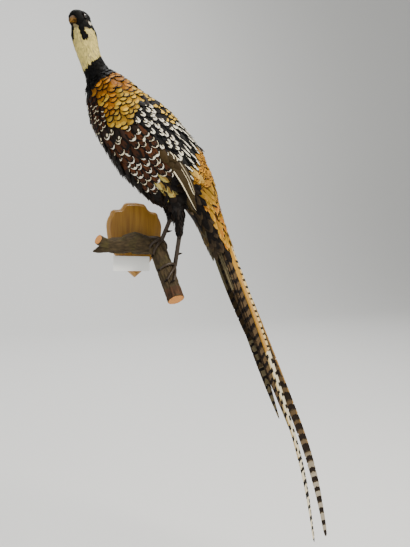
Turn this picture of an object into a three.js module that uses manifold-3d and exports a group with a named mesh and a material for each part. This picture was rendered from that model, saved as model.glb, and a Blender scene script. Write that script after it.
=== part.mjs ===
// Reeves's pheasant cock on a forked branch and a scalloped wall shield: a still, life-size mount.
// Millimetres, +Z up, +X towards the tail, the wall is the plane Y = 0 and the room is towards -Y.
// The origin is the centre of the shield's flat back.
import * as THREE from 'three';
import Module from 'manifold-3d';
import { mergeVertices } from 'three/addons/utils/BufferGeometryUtils.js';

// ---------------------------------------------------------------- driving dimensions
const GAP = 0.35; // clearance kept between neighbouring solids
const BIRD_Y = -95; // the bird's mid plane, parallel to the wall

const SHIELD_THICKNESS = 18;
const SHIELD_BEVEL = 6;
const CARD = { width: 92, height: 37, thickness: 0.8, centre: [-11, -62.5] };

const ARM_Y = -41; // axis of the branch's level arm
const STUB_START = [41, -46, -9];
const STUB_END = [59, -140, -148];
const STUB_RADIUS = 21;
const SIDE_STUB_RADIUS = 13;

const HEAD_CENTRE = [-151, -110, 456];
const HEAD_YAW = 54; // degrees from -X towards the room
const HEAD_PITCH = 26; // degrees below level
const EYE_RADIUS = 5.6;

const TAIL_START = [238, -15]; // X, Z where the tail's ridge leaves the coverts
const TAIL_SLOPE = 65.3; // degrees below level at the root
const TAIL_DROOP = 13; // degrees gained towards the tip
const TAIL_DRIFT = 15; // how far the tip leans to the wall
const TAIL_LENGTH = 922; // longest feather, past the coverts
const TAIL_ROOF = 0.36; // sideways step per unit of depth: how steep the folded tail's roof is
const TAIL_BLADE = 0.9; // thickness of one tail feather
const TAIL_LAYER = 1.9; // spacing of the stacked feathers

// Trunk and tail coverts along the body: X, Z, half depth, half width.
const TRUNK = [
  [-122, 354, 18, 17], [-108, 341, 42, 36], [-83, 310, 63, 51], [-51, 268, 82, 61],
  [-6, 228, 97, 66], [38, 187, 98, 65], [84, 149, 92, 58], [129, 112, 62, 46],
  [158, 64.5, 41, 37], [186.6, 2.4, 36, 33], [206.5, -40.6, 34, 31],
];
// Neck from the trunk to the head: X, Y, Z, half depth, half width.
const NECK = [
  [-90, -95, 312, 40, 34], [-107, -95, 347, 33, 30], [-123.5, -97, 377, 26, 25.5],
  [-134.5, -101, 404, 27, 25], [-142.5, -106, 431, 28.5, 25], [-147.5, -109.5, 450, 21.5, 19],
];
// Head along its own axis: distance, half width, half height above, below, drop of the centre.
const HEAD = [
  [-31.5, 5, 5, 5, 2], [-26, 14.5, 14.5, 15.8, 1.5], [-13.5, 20.8, 19.5, 20.5, 0.5], [0, 20.5, 19.8, 20, 0],
  [11, 19.5, 20, 18, 0.5], [20, 17.5, 19, 15.5, 1], [27, 13.5, 16.5, 12, 2.2], [31, 9.5, 12, 9, 3],
];
const BILL_UPPER = [
  [24, 7.4, 8, 2.2, 1.2], [32, 6.8, 7.8, 0.8, 2], [40, 5.4, 6.8, 0.6, 3],
  [47, 3.6, 4.6, 1.2, 4.8], [53, 1, 1, 1.4, 8],
];
const BILL_LOWER = [
  [24, 6.4, 0.2, 6, 3.9], [32, 5.8, 0.2, 5, 3.8], [40, 4.4, 0.2, 4, 4.4], [46.5, 1.4, 0.2, 1.4, 6.4],
];
// Feathered leg from the flank to the ankle: X, Y, Z, half depth, half width.
const LEG_LEFT = [
  [60, -128, 118, 38, 24], [64, -130, 88, 31, 22], [69, -126, 62, 21.5, 17],
  [72.5, -122, 30, 12.5, 11], [75.5, -119, 6, 9, 8.4], [76, -118.4, 0, 6.8, 6.4],
];
const LEG_RIGHT = [
  [62, -66, 128, 36, 24], [66, -68, 102, 29, 20], [69.5, -71.5, 78, 18.5, 15],
  [71, -74.5, 58, 11.5, 10.5], [68.5, -75.6, 43, 7, 6.8],
];
// Foot: ankle, place of the ball along the perch (0 to 1) and round it (degrees from its upper side).
// Each toe turns round the perch by so many degrees while it spreads along it.
const FOOT_LEFT = { ankle: [76, -118.2, 1], along: 0.47, round: -60 };
const FOOT_RIGHT = { ankle: [68.5, -75.6, 44], along: 0.06, round: -8 };
const TOES_LEFT = [[126, 0.06], [104, 0.26], [70, 0.3], [-46, 0.04]];
const TOES_RIGHT = [[100, 0.06], [84, -0.1], [82, 0.2], [-58, 0.07]];
const TARSUS_RADIUS = 5.2;
const TOE_RADIUS = 4;

// Folded wing over the trunk: station along TRUNK, upper and lower edge (degrees from the mid line).
const WING = [
  [1.35, 30, -12], [1.8, 46, -30], [2.6, 56, -42], [3.6, 60, -47],
  [4.6, 58, -42], [5.4, 54, -34], [6.1, 48, -24], [6.7, 38, -12],
];
const WING_THICKNESS = 10;
// Folded flight feathers behind the wing: X, Z, distance from the mid plane, half depth.
const FLIGHT = [
  [0, 168, 72, 22], [26, 140, 74, 25], [48, 108, 70, 23], [68, 78, 65, 17], [82, 56, 61, 9],
  [90, 42, 59, 3],
];
const FLIGHT_THICKNESS = 5;
const FLIGHT_RAISE = { left: 19, right: 30 }; // the wing at the wall is carried higher

// Tail feathers by pair, from the middle outwards: left and right length past the coverts, then
// depth below the ridge and visible width at the root, at each quarter and at the tip.
const TAIL_PAIRS = [
  { length: [882, 922], depth: [18, 20, 38, 57, 74], width: [24, 24, 20, 18, 8] },
  { length: [548, 508], depth: [27, 33, 41, 48, 53], width: [26, 26, 24, 18, 4] },
  { length: [482, 468], depth: [35, 39, 43, 48, 52], width: [26, 26, 24, 19, 4] },
  { length: [430, 418], depth: [40, 41, 44, 47, 50], width: [25, 25, 23, 18, 4] },
  { length: [340, 330], depth: [46, 48, 48, 48, 49], width: [26, 26, 24, 17, 4] },
];
// The far central feather keeps to the ridge while the near one sags below it.
const TAIL_RIGHT_CENTRAL = { depth: [18, 13.5, 11, 9, 7], width: [24, 24, 22, 20, 8] };

const COLOURS = {
  gold: 0xc98a2b, chestnut: 0x5b2b18, black: 0x17130f, cream: 0xe9dfc4, horn: 0xb9832f,
  leg: 0x4b4136, bark: 0x5a5040, wood: 0xa8752c, card: 0xeeedea, barred: 0x7b5a34, eye: 0x1a0d06,
};

const wasm = await Module();
wasm.setup();

// ---------------------------------------------------------------- geometry helpers
const vec = (p) => new THREE.Vector3(p[0], p[1], p[2]);
const rad = THREE.MathUtils.degToRad;
const RIGHT = new THREE.Vector3(0, 1, 0); // the bird's right side faces the wall

// A closed skin over rings of points, with a fan over each end.
function skin(rings) {
  const n = rings[0].length;
  const positions = [];
  const index = [];
  for (const ring of rings) {
    for (const p of ring) positions.push(p.x, p.y, p.z);
  }
  for (let i = 0; i + 1 < rings.length; i += 1) {
    for (let j = 0; j < n; j += 1) {
      const a = i * n + j;
      const b = i * n + (j + 1) % n;
      index.push(a, b, b + n, a, b + n, a + n);
    }
  }
  for (const [ring, start, flip] of [[rings[0], 0, true], [rings.at(-1), (rings.length - 1) * n, false]]) {
    const middle = ring.reduce((sum, p) => sum.add(p), new THREE.Vector3()).divideScalar(n);
    const centre = positions.length / 3;
    positions.push(middle.x, middle.y, middle.z);
    for (let j = 0; j < n; j += 1) {
      const a = start + j;
      const b = start + (j + 1) % n;
      if (flip) index.push(centre, b, a);
      else index.push(centre, a, b);
    }
  }
  const geometry = new THREE.BufferGeometry();
  geometry.setAttribute('position', new THREE.Float32BufferAttribute(positions, 3));
  geometry.setIndex(index);
  return outward(geometry);
}

// Turns the faces of a closed mesh to point outwards.
function outward(geometry) {
  const p = geometry.getAttribute('position');
  const index = geometry.getIndex().array;
  const a = new THREE.Vector3();
  const b = new THREE.Vector3();
  const c = new THREE.Vector3();
  let volume = 0;
  for (let i = 0; i < index.length; i += 3) {
    a.fromBufferAttribute(p, index[i]);
    b.fromBufferAttribute(p, index[i + 1]);
    c.fromBufferAttribute(p, index[i + 2]);
    volume += a.dot(b.cross(c));
  }
  if (volume < 0) {
    const turned = Array.from(index);
    for (let i = 0; i < turned.length; i += 3) [turned[i], turned[i + 1]] = [turned[i + 1], turned[i]];
    geometry.setIndex(turned);
  }
  return geometry;
}

function solid(geometry) {
  let clean = geometry.clone();
  clean.deleteAttribute('normal');
  clean.deleteAttribute('uv');
  clean = mergeVertices(clean, 1e-4);
  const mesh = new wasm.Mesh({
    numProp: 3,
    vertProperties: Float32Array.from(clean.getAttribute('position').array),
    triVerts: Uint32Array.from(clean.getIndex().array),
  });
  return new wasm.Manifold(mesh);
}

function geometryOf(manifold) {
  const mesh = manifold.getMesh();
  const geometry = new THREE.BufferGeometry();
  geometry.setAttribute('position', new THREE.Float32BufferAttribute(mesh.vertProperties, 3));
  geometry.setIndex(new THREE.Uint32BufferAttribute(mesh.triVerts, 1));
  return geometry;
}

const join = (solids) => solids.reduce((all, s) => all.add(s));
const cut = (body, tools) => largest(tools.reduce((rest, tool) => rest.subtract(tool), body));

// The biggest single body of a solid, without the crumbs that a cut leaves.
function largest(manifold) {
  const bodies = manifold.decompose();
  bodies.sort((a, b) => b.volume() - a.volume());
  return bodies[0];
}

// A smooth curve through the stations' values, read at a station number such as 2.5.
function through(rows) {
  const size = rows[0].length;
  return (station) => {
    const last = rows.length - 1;
    const i = Math.min(Math.max(Math.floor(station), 0), last - 1);
    const t = station - i;
    const r0 = rows[Math.max(i - 1, 0)];
    const r3 = rows[Math.min(i + 2, last)];
    const out = [];
    for (let k = 0; k < size; k += 1) {
      const slopeIn = (rows[i + 1][k] - r0[k]) / 2;
      const slopeOut = (r3[k] - rows[i][k]) / 2;
      const a = 2 * rows[i][k] - 2 * rows[i + 1][k] + slopeIn + slopeOut;
      const b = -3 * rows[i][k] + 3 * rows[i + 1][k] - 2 * slopeIn - slopeOut;
      out.push(((a * t + b) * t + slopeIn) * t + rows[i][k]);
    }
    return out;
  };
}

// One elliptical ring: half width to the sides, half height above and below.
function ring(centre, side, up, halfWidth, above, below, count) {
  const points = [];
  for (let j = 0; j < count; j += 1) {
    const angle = (2 * Math.PI * j) / count;
    const height = Math.sin(angle) > 0 ? above : below;
    points.push(centre.clone()
      .addScaledVector(side, halfWidth * Math.cos(angle))
      .addScaledVector(up, height * Math.sin(angle)));
  }
  return points;
}

// A round body along stations of centre, half depth and half width, with rounded ends.
function limb(rows, { sides, rings, grow = 0 }) {
  const at = through(rows);
  const last = rows.length - 1;
  const sections = [];
  for (let i = 0; i <= rings; i += 1) {
    const s = (last * i) / rings;
    const [x, y, z, depth, width] = at(s);
    const ahead = vec(at(Math.min(s + 0.02, last)));
    const along = ahead.sub(vec(at(Math.max(s - 0.02, 0)))).normalize();
    const side = RIGHT.clone().addScaledVector(along, -along.dot(RIGHT)).normalize();
    const up = new THREE.Vector3().crossVectors(along, side);
    const centre = new THREE.Vector3(x, y, z);
    if (i === 0) centre.addScaledVector(along, -grow);
    if (i === rings) centre.addScaledVector(along, grow);
    sections.push(ring(centre, side, up, width + grow, depth + grow, depth + grow, sides));
  }
  return solid(skin(sections));
}

// ---------------------------------------------------------------- trunk
const trunkAt = through(TRUNK);

// A point over the trunk: station, angle from the mid line (up is positive), side, height over it.
function trunkFrame(station) {
  const [x, z, depth, width] = trunkAt(station);
  const a = trunkAt(Math.max(station - 0.02, 0));
  const b = trunkAt(Math.min(station + 0.02, TRUNK.length - 1));
  const along = new THREE.Vector3(b[0] - a[0], 0, b[1] - a[1]).normalize();
  const up = new THREE.Vector3().crossVectors(along, RIGHT);
  return { centre: new THREE.Vector3(x, BIRD_Y, z), along, up, depth, width };
}

function trunkPoint(station, angle, side, height) {
  const { centre, up, depth, width } = trunkFrame(station);
  return centre
    .addScaledVector(RIGHT, side * (width + height) * Math.cos(rad(angle)))
    .addScaledVector(up, (depth + height) * Math.sin(rad(angle)));
}

function trunkSolid(grow) {
  const sections = [];
  const count = 20;
  for (let i = 0; i <= count; i += 1) {
    const s = ((TRUNK.length - 1) * i) / count;
    const { centre, along, up, depth, width } = trunkFrame(s);
    if (i === 0) centre.addScaledVector(along, -grow);
    if (i === count) centre.addScaledVector(along, grow);
    sections.push(ring(centre, RIGHT, up, width + grow, depth + grow, depth + grow, 24));
  }
  return solid(skin(sections));
}

// ---------------------------------------------------------------- head
const yaw = rad(HEAD_YAW);
const pitch = rad(HEAD_PITCH);
const headAlong = new THREE.Vector3(
  -Math.cos(yaw) * Math.cos(pitch), -Math.sin(yaw) * Math.cos(pitch), -Math.sin(pitch),
);
const headSide = new THREE.Vector3(-Math.sin(yaw), Math.cos(yaw), 0); // the bird's right
const headUp = new THREE.Vector3().crossVectors(headSide, headAlong);

function headPoint(along, side, up) {
  return vec(HEAD_CENTRE)
    .addScaledVector(headAlong, along)
    .addScaledVector(headSide, side)
    .addScaledVector(headUp, up);
}

function headSolid(rows, sides, rings, grow = 0) {
  const at = through(rows);
  const last = rows.length - 1;
  const sections = [];
  for (let i = 0; i <= rings; i += 1) {
    const [s, width, above, below, drop] = at((last * i) / rings);
    const end = i === 0 ? -grow : i === rings ? grow : 0;
    const centre = headPoint(s + end, 0, -drop);
    sections.push(ring(centre, headSide, headUp, width + grow, above + grow, below + grow, sides));
  }
  return solid(skin(sections));
}

function eyeSolid(side, radius) {
  const centre = headPoint(10, side * 14.4, 5.5);
  const ball = new THREE.SphereGeometry(radius, 12, 8);
  ball.translate(centre.x, centre.y, centre.z);
  return solid(ball);
}

// ---------------------------------------------------------------- flesh, parted by thin cuts
function slice(body, point, normal) {
  const n = vec(normal).normalize();
  const offset = n.dot(vec(point));
  const near = body.trimByPlane([n.x, n.y, n.z], offset + GAP / 2);
  const far = body.trimByPlane([-n.x, -n.y, -n.z], -offset + GAP / 2);
  return [largest(near), largest(far)];
}

const neckSolid = (grow) => limb(NECK, { sides: 18, rings: 9, grow });
const flesh = join([trunkSolid(0), neckSolid(0), headSolid(HEAD, 16, 9)]);
const fleshGrown = join([trunkSolid(GAP), neckSolid(GAP), headSolid(HEAD, 16, 9, GAP)]);
const [headRaw, belowHead] = slice(flesh, [-137, -105, 431], [-0.2, -0.1, 1]);
const [neck, trunkAndCoverts] = slice(belowHead, [-109, BIRD_Y, 351], [-0.5, 0, 0.86]);
const [trunk, longCoverts] = slice(trunkAndCoverts, [152, BIRD_Y, 84], [-0.55, 0, 0.84]);
const tailRoot = [TAIL_START[0], BIRD_Y, TAIL_START[1]];
const tailAlong = [Math.cos(rad(TAIL_SLOPE)), 0, -Math.sin(rad(TAIL_SLOPE))];
const coverts = slice(longCoverts, tailRoot, tailAlong)[1];

const eyes = { left: eyeSolid(-1, EYE_RADIUS), right: eyeSolid(1, EYE_RADIUS) };
const sockets = [eyeSolid(-1, EYE_RADIUS + GAP), eyeSolid(1, EYE_RADIUS + GAP)];
const head = cut(headRaw, sockets);
const billUpper = cut(headSolid(BILL_UPPER, 10, 7), [fleshGrown]);
const billLower = cut(headSolid(BILL_LOWER, 10, 5), [fleshGrown, headSolid(BILL_UPPER, 10, 7, GAP)]);

// ---------------------------------------------------------------- wings
// The wing hugs the trunk: each section runs over the outside and back along the inside.
function wingSolid(side, grow) {
  const at = through(WING);
  const across = 7;
  const rings = 12;
  const sections = [];
  for (let i = 0; i <= rings; i += 1) {
    const [station, upper, lower] = at(((WING.length - 1) * i) / rings);
    const share = i / rings;
    const fullness = Math.min(1, 0.35 + 5 * share, 0.5 + 2.5 * (1 - share));
    const outer = [];
    const inner = [];
    for (let j = 0; j <= across; j += 1) {
      const k = j / across;
      const edge = Math.sin(Math.PI * k) ** 0.6;
      const angle = upper + (lower - upper) * k;
      const height = 0.9 + grow + (WING_THICKNESS - 0.9) * fullness * edge;
      outer.push(trunkPoint(station, angle, side, height));
      inner.push(trunkPoint(station, angle, side, -3));
    }
    sections.push([...outer, ...inner.reverse()]);
  }
  return solid(skin(sections));
}

// The closed fan of flight feathers, a thin curved blade beside the rump and flank.
function flightSolid(side, grow) {
  const raise = side < 0 ? FLIGHT_RAISE.left : FLIGHT_RAISE.right;
  const at = through(FLIGHT);
  const rings = 12;
  const last = FLIGHT.length - 1;
  const sections = [];
  for (let i = 0; i <= rings; i += 1) {
    const s = (last * i) / rings;
    const [x, z, out, depth] = at(s);
    const a = at(Math.max(s - 0.02, 0));
    const b = at(Math.min(s + 0.02, last));
    const along = new THREE.Vector3(b[0] - a[0], 0, b[1] - a[1]).normalize();
    const up = new THREE.Vector3().crossVectors(along, RIGHT);
    const centre = new THREE.Vector3(x, BIRD_Y + side * out, z).addScaledVector(up, raise);
    const thick = (FLIGHT_THICKNESS / 2) * (1 - 0.6 * (i / rings)) + grow;
    sections.push(ring(centre, RIGHT, up, thick, depth + grow, depth + grow, 10));
  }
  return solid(skin(sections));
}

const SIDES = { left: -1, right: 1 };
const trunkGrown = trunkSolid(GAP);
const wings = {};
const flights = {};
const legs = {};
for (const [name, side] of Object.entries(SIDES)) {
  wings[name] = cut(wingSolid(side, 0), [trunkGrown]);
  flights[name] = cut(flightSolid(side, 0), [trunkGrown, wingSolid(side, GAP)]);
  const rows = side < 0 ? LEG_LEFT : LEG_RIGHT;
  const tools = [trunkGrown, wingSolid(side, GAP), flightSolid(side, GAP)];
  legs[name] = cut(limb(rows, { sides: 16, rings: 9 }), tools);
}

// ---------------------------------------------------------------- branch
const ARM = [
  [-110, -34, -36, 2.5], [-94, -38, -31, 9], [-80, -40, -24, 15], [-64, ARM_Y, -20, 20],
  [-36, ARM_Y, -19, 21], [-19, ARM_Y, -12, 28], [4, ARM_Y, -15, 26], [30, ARM_Y - 2, -18, 23],
  [50, ARM_Y - 3, -20, 19], [58, ARM_Y - 3, -21, 12],
];

function tube(points, radii, sides, rings, grow = 0) {
  const rows = points.map((p, i) => [...p, radii[i]]);
  const at = through(rows);
  const last = rows.length - 1;
  const sections = [];
  for (let i = 0; i <= rings; i += 1) {
    const s = (last * i) / rings;
    const [x, y, z, r] = at(s);
    const along = vec(at(Math.min(s + 0.02, last))).sub(vec(at(Math.max(s - 0.02, 0)))).normalize();
    const pole = Math.abs(along.z) > 0.9 ? new THREE.Vector3(1, 0, 0) : new THREE.Vector3(0, 0, 1);
    const side = new THREE.Vector3().crossVectors(along, pole).normalize();
    const up = new THREE.Vector3().crossVectors(side, along);
    const centre = new THREE.Vector3(x, y, z);
    if (i === 0) centre.addScaledVector(along, -grow);
    if (i === rings) centre.addScaledVector(along, grow);
    sections.push(ring(centre, side, up, r + grow, r + grow, r + grow, sides));
  }
  return solid(skin(sections));
}

function branchSolid(grow) {
  const arm = tube(ARM.map((a) => a.slice(0, 3)), ARM.map((a) => a[3]), 14, 12, grow);
  const stub = tube(
    [STUB_START, STUB_START.map((v, i) => (v + STUB_END[i]) / 2), STUB_END],
    [STUB_RADIUS + 1, STUB_RADIUS, STUB_RADIUS - 0.5], 16, 3, grow,
  );
  const sideStub = tube(
    [[-72, -40, -20], [-87, -46, -14], [-101, -53, -8]],
    [SIDE_STUB_RADIUS, SIDE_STUB_RADIUS, SIDE_STUB_RADIUS - 0.5], 12, 3, grow,
  );
  return join([arm, stub, sideStub]);
}

const sawnBack = -(SHIELD_THICKNESS + GAP);
const branch = largest(branchSolid(0).trimByPlane([0, -1, 0], -sawnBack));
const branchGrown = branchSolid(GAP);

// ---------------------------------------------------------------- feet
const perchAlong = vec(STUB_END).sub(vec(STUB_START)).normalize();
const perchTop = new THREE.Vector3(0, 0, 1).addScaledVector(perchAlong, -perchAlong.z).normalize();
const perchLeft = new THREE.Vector3().crossVectors(perchAlong, perchTop);

// A point over the perch: share of its length, degrees round it from its upper side, height.
function perchPoint(along, round, height) {
  return vec(STUB_START).lerp(vec(STUB_END), along)
    .addScaledVector(perchTop, (STUB_RADIUS + height) * Math.cos(rad(round)))
    .addScaledVector(perchLeft, (STUB_RADIUS + height) * Math.sin(rad(round)));
}

// A digit wraps round the perch and ends in a claw that bends into it.
function digit(foot, turn, spread, radius) {
  const points = [];
  const radii = [];
  const steps = 4;
  for (let i = 0; i <= steps; i += 1) {
    const k = i / steps;
    const lift = radius * 0.62 + (i === 0 ? 1 : 0);
    points.push(perchPoint(foot.along + spread * k, foot.round + turn * k, lift).toArray());
    radii.push(radius * (1 - 0.35 * k) * (i % 2 ? 1.06 : 1));
  }
  const hook = Math.sign(turn);
  const reach = [[10, 2.8, 0.4], [26, 0.8, 0.14]];
  for (const [degrees, height, thin] of reach) {
    const p = perchPoint(foot.along + spread * 1.05, foot.round + turn + hook * degrees, height);
    points.push(p.toArray());
    radii.push(radius * thin);
  }
  return tube(points, radii, 6, 7);
}

function footSolid(foot, toes, spurSide) {
  const ball = perchPoint(foot.along, foot.round, TOE_RADIUS + 1.5);
  const ankle = vec(foot.ankle);
  const shank = [ankle, ankle.clone().lerp(ball, 0.12), ankle.clone().lerp(ball, 0.5), ball];
  const spurRoot = ankle.clone().lerp(ball, 0.62);
  const spurTip = spurRoot.clone().add(new THREE.Vector3(17, spurSide * 5, 2));
  const pieces = [
    tube(shank.map((p) => p.toArray()), [6, TARSUS_RADIUS, TARSUS_RADIUS, 5.2], 8, 5),
    tube([spurRoot.toArray(), spurRoot.clone().lerp(spurTip, 0.5).toArray(), spurTip.toArray()],
      [4, 2.8, 0.5], 8, 3),
    ...toes.map(([turn, spread], i) => digit(foot, turn, spread, TOE_RADIUS * (1 - 0.06 * i))),
  ];
  return join(pieces);
}

const legGrown = (rows) => limb(rows, { sides: 16, rings: 9, grow: GAP });
const feet = {
  left: cut(footSolid(FOOT_LEFT, TOES_LEFT, 1), [branchGrown, legGrown(LEG_LEFT)]),
  right: cut(footSolid(FOOT_RIGHT, TOES_RIGHT, -1), [branchGrown, legGrown(LEG_RIGHT)]),
};

// ---------------------------------------------------------------- tail
// The ridge of the folded tail: it leaves the coverts straight and droops towards the tip.
function tailFrame(distance) {
  const step = 5;
  let x = TAIL_START[0];
  let z = TAIL_START[1];
  let angle = TAIL_SLOPE;
  for (let s = 0; s < distance; s += step) {
    const length = Math.min(step, distance - s);
    const droop = THREE.MathUtils.smoothstep(s, 450, 920);
    angle = rad(TAIL_SLOPE + TAIL_DROOP * droop);
    x += length * Math.cos(angle);
    z -= length * Math.sin(angle);
  }
  if (distance <= 0) angle = rad(TAIL_SLOPE);
  const y = BIRD_Y + (TAIL_DRIFT * distance) / TAIL_LENGTH;
  const along = new THREE.Vector3(Math.cos(angle), 0, -Math.sin(angle));
  const down = new THREE.Vector3().crossVectors(RIGHT, along);
  return { ridge: new THREE.Vector3(x, y, z), down };
}

// One tail feather: a thin tapering blade that leans like the side of a roof.
function tailFeather(side, layer, length, { depth, width }) {
  const rings = 12;
  const depthAt = through(depth.map((d) => [d]));
  const widthAt = through(width.map((w) => [w]));
  const lean = new THREE.Vector2(1, TAIL_ROOF).normalize();
  const sections = [];
  for (let i = 0; i <= rings; i += 1) {
    const share = i / rings;
    const { ridge, down } = tailFrame(share * length);
    const [middle] = depthAt(4 * share);
    const [full] = widthAt(4 * share);
    const corners = [];
    const half = TAIL_BLADE / 2;
    for (const [across, over] of [[-0.5, -half], [0.5, -half], [0.5, half], [-0.5, half]]) {
      const d = middle + across * full - over * lean.y;
      const out = 2 + TAIL_ROOF * (middle + across * full) + over * lean.x - layer * TAIL_LAYER;
      corners.push(ridge.clone().addScaledVector(down, d).addScaledVector(RIGHT, side * out));
    }
    sections.push(corners);
  }
  return skin(sections);
}

// ---------------------------------------------------------------- shield and card
// Half outline of the shield from its top middle round to the bottom point.
function shieldOutline(inset) {
  const half = new THREE.Path();
  half.moveTo(0, 92);
  half.lineTo(22, 90);
  half.quadraticCurveTo(27, 88, 30, 82);
  half.quadraticCurveTo(36, 70, 50, 71);
  half.quadraticCurveTo(61, 71, 62, 58);
  half.quadraticCurveTo(73, 42, 70, 22);
  half.quadraticCurveTo(68, -16, 50, -42);
  half.quadraticCurveTo(40, -58, 34, -66);
  half.quadraticCurveTo(20, -80, 0, -97);
  const right = half.getSpacedPoints(20);
  const left = right.slice(1, -1).reverse().map((p) => new THREE.Vector2(-p.x, p.y));
  const all = [...right, ...left];
  return all.map((p) => p.multiplyScalar(1 - inset / 80));
}

function shieldSolid() {
  const steps = [[0, 0], [-8, 0], [-13, 1.5], [-15, SHIELD_BEVEL], [-SHIELD_THICKNESS, SHIELD_BEVEL + 1.5]];
  const rings = steps.map(([y, inset]) => shieldOutline(inset).map((p) => new THREE.Vector3(p.x, y, p.y)));
  return skin(rings);
}

const cardGeometry = new THREE.BoxGeometry(CARD.width, CARD.thickness, CARD.height);
cardGeometry.translate(CARD.centre[0], -(SHIELD_THICKNESS + GAP + CARD.thickness / 2), CARD.centre[1]);

// ---------------------------------------------------------------- the named parts
const group = new THREE.Group();
function part(name, shape, color, roughness = 0.8) {
  const geometry = shape.isBufferGeometry ? shape : geometryOf(shape);
  const mesh = new THREE.Mesh(geometry, new THREE.MeshStandardMaterial({ color, roughness, metalness: 0 }));
  mesh.name = name;
  group.add(mesh);
}

part('wall_shield', shieldSolid(), COLOURS.wood, 0.35);
part('branch', branch, COLOURS.bark, 0.9);
part('label_card', cardGeometry, COLOURS.card, 0.7);
part('trunk', trunk, COLOURS.gold);
part('tail_coverts', coverts, COLOURS.gold);
part('neck', neck, COLOURS.black);
part('head', head, COLOURS.cream);
part('bill_upper', billUpper, COLOURS.horn, 0.4);
part('bill_lower', billLower, COLOURS.horn, 0.4);
for (const name of Object.keys(SIDES)) {
  part(`eye_${name}`, eyes[name], COLOURS.eye, 0.1);
  part(`wing_${name}`, wings[name], COLOURS.chestnut);
  part(`flight_feathers_${name}`, flights[name], COLOURS.chestnut);
  part(`leg_${name}`, legs[name], COLOURS.black);
  part(`foot_${name}`, feet[name], COLOURS.leg, 0.6);
}
TAIL_PAIRS.forEach((pair, k) => {
  const right = k === 0 ? TAIL_RIGHT_CENTRAL : pair;
  part(`tail_feather_${k + 1}_left`, tailFeather(-1, k, pair.length[0], pair), COLOURS.barred);
  part(`tail_feather_${k + 1}_right`, tailFeather(1, k, pair.length[1], right), COLOURS.barred);
});

export default group;
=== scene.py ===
"""Looks of the mounted Reeves's pheasant: one skin, feather vanes over it, and its perch and shield.

Metres, +Z up, +X towards the tail, the wall is Y = 0 and the room is towards -Y. Tables are in millimetres.
"""

import math
from itertools import product

import bpy
import numpy as np
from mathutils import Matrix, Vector, noise
from mathutils.bvhtree import BVHTree


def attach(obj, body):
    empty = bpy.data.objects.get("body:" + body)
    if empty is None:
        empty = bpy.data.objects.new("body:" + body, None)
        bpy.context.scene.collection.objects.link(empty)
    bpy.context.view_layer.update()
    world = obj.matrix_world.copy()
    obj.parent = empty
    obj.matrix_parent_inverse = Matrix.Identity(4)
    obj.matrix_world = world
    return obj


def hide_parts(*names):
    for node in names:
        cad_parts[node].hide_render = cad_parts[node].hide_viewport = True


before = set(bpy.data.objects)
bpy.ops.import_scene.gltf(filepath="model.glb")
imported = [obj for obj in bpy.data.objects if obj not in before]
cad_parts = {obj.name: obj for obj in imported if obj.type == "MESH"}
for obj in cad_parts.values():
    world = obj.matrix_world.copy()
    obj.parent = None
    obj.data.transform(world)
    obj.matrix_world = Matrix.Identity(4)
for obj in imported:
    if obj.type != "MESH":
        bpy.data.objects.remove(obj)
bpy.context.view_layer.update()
rng = np.random.default_rng(7)

MM = 0.001
RIGHT = np.array([0.0, 1.0, 0.0])
BIRD_Y = -95.0
SIDES = ((-1, "left"), (1, "right"))

# ---- the CAD's own stations, millimetres
# x, z, depth and width along the body; x, y, z, depth and width along the neck and the legs.
TRUNK = [
    [-122, 354, 18, 17], [-108, 341, 42, 36], [-83, 310, 63, 51], [-51, 268, 82, 61],
    [-6, 228, 97, 66], [38, 187, 98, 65], [84, 149, 92, 58], [129, 112, 62, 46],
    [158, 64.5, 41, 37], [186.6, 2.4, 36, 33], [206.5, -40.6, 34, 31],
]
NECK = [
    [-90, -95, 312, 40, 34], [-107, -95, 347, 33, 30], [-123.5, -97, 377, 26, 25.5],
    [-134.5, -101, 404, 27, 25], [-142.5, -106, 431, 28.5, 25], [-147.5, -109.5, 450, 21.5, 19],
]
LEGS = {
    "left": [
        [60, -128, 118, 38, 24], [64, -130, 88, 31, 22], [69, -126, 62, 21.5, 17],
        [72.5, -122, 30, 12.5, 11], [75.5, -119, 6, 9, 8.4], [76, -118.4, 0, 6.8, 6.4],
    ],
    "right": [
        [62, -66, 128, 36, 24], [66, -68, 102, 29, 20], [69.5, -71.5, 78, 18.5, 15],
        [71, -74.5, 58, 11.5, 10.5], [68.5, -75.6, 43, 7, 6.8],
    ],
}
# Distance from the head's centre, half width, height above and below the line, and the line's drop.
BILL_UPPER = [
    [24, 7.4, 8, 2.2, 1.2], [32, 6.8, 7.8, 0.8, 2], [40, 5.4, 6.8, 0.6, 3],
    [47, 3.6, 4.6, 1.2, 4.8], [53, 1, 1, 1.4, 8],
]
BILL_LOWER = [
    [24, 6.4, 0.2, 6, 3.9], [32, 5.8, 0.2, 5, 3.8], [40, 4.4, 0.2, 4, 4.4], [46.5, 1.4, 0.2, 1.4, 6.4],
]
# x, z, distance from the middle plane and half width of the folded flight feathers.
FLIGHT = [
    [0, 168, 72, 22], [26, 140, 74, 25], [48, 108, 70, 23], [68, 78, 65, 17], [82, 56, 61, 9],
    [90, 42, 59, 3],
]
FLIGHT_RAISE = {-1: 19.0, 1: 30.0}
# The head's centre and its own directions, from how far it is turned to the room and lowered.
HEAD_CENTRE = np.array([-151.0, -110.0, 456.0])
YAW, PITCH = math.radians(54), math.radians(26)
HEAD_ALONG = np.array([-math.cos(YAW) * math.cos(PITCH), -math.sin(YAW) * math.cos(PITCH), -math.sin(PITCH)])
HEAD_SIDE = np.array([-math.sin(YAW), math.cos(YAW), 0.0])
HEAD_UP = np.cross(HEAD_SIDE, HEAD_ALONG)
EYE_RADIUS = 5.6
STUB_START, STUB_END = np.array([41.0, -46.0, -9.0]), np.array([59.0, -140.0, -148.0])
STUB_RADIUS = 21.0
SIDE_STUB_END, SIDE_STUB_START = np.array([-101, -53, -8]), np.array([-80.0, -43, -17])
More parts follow.
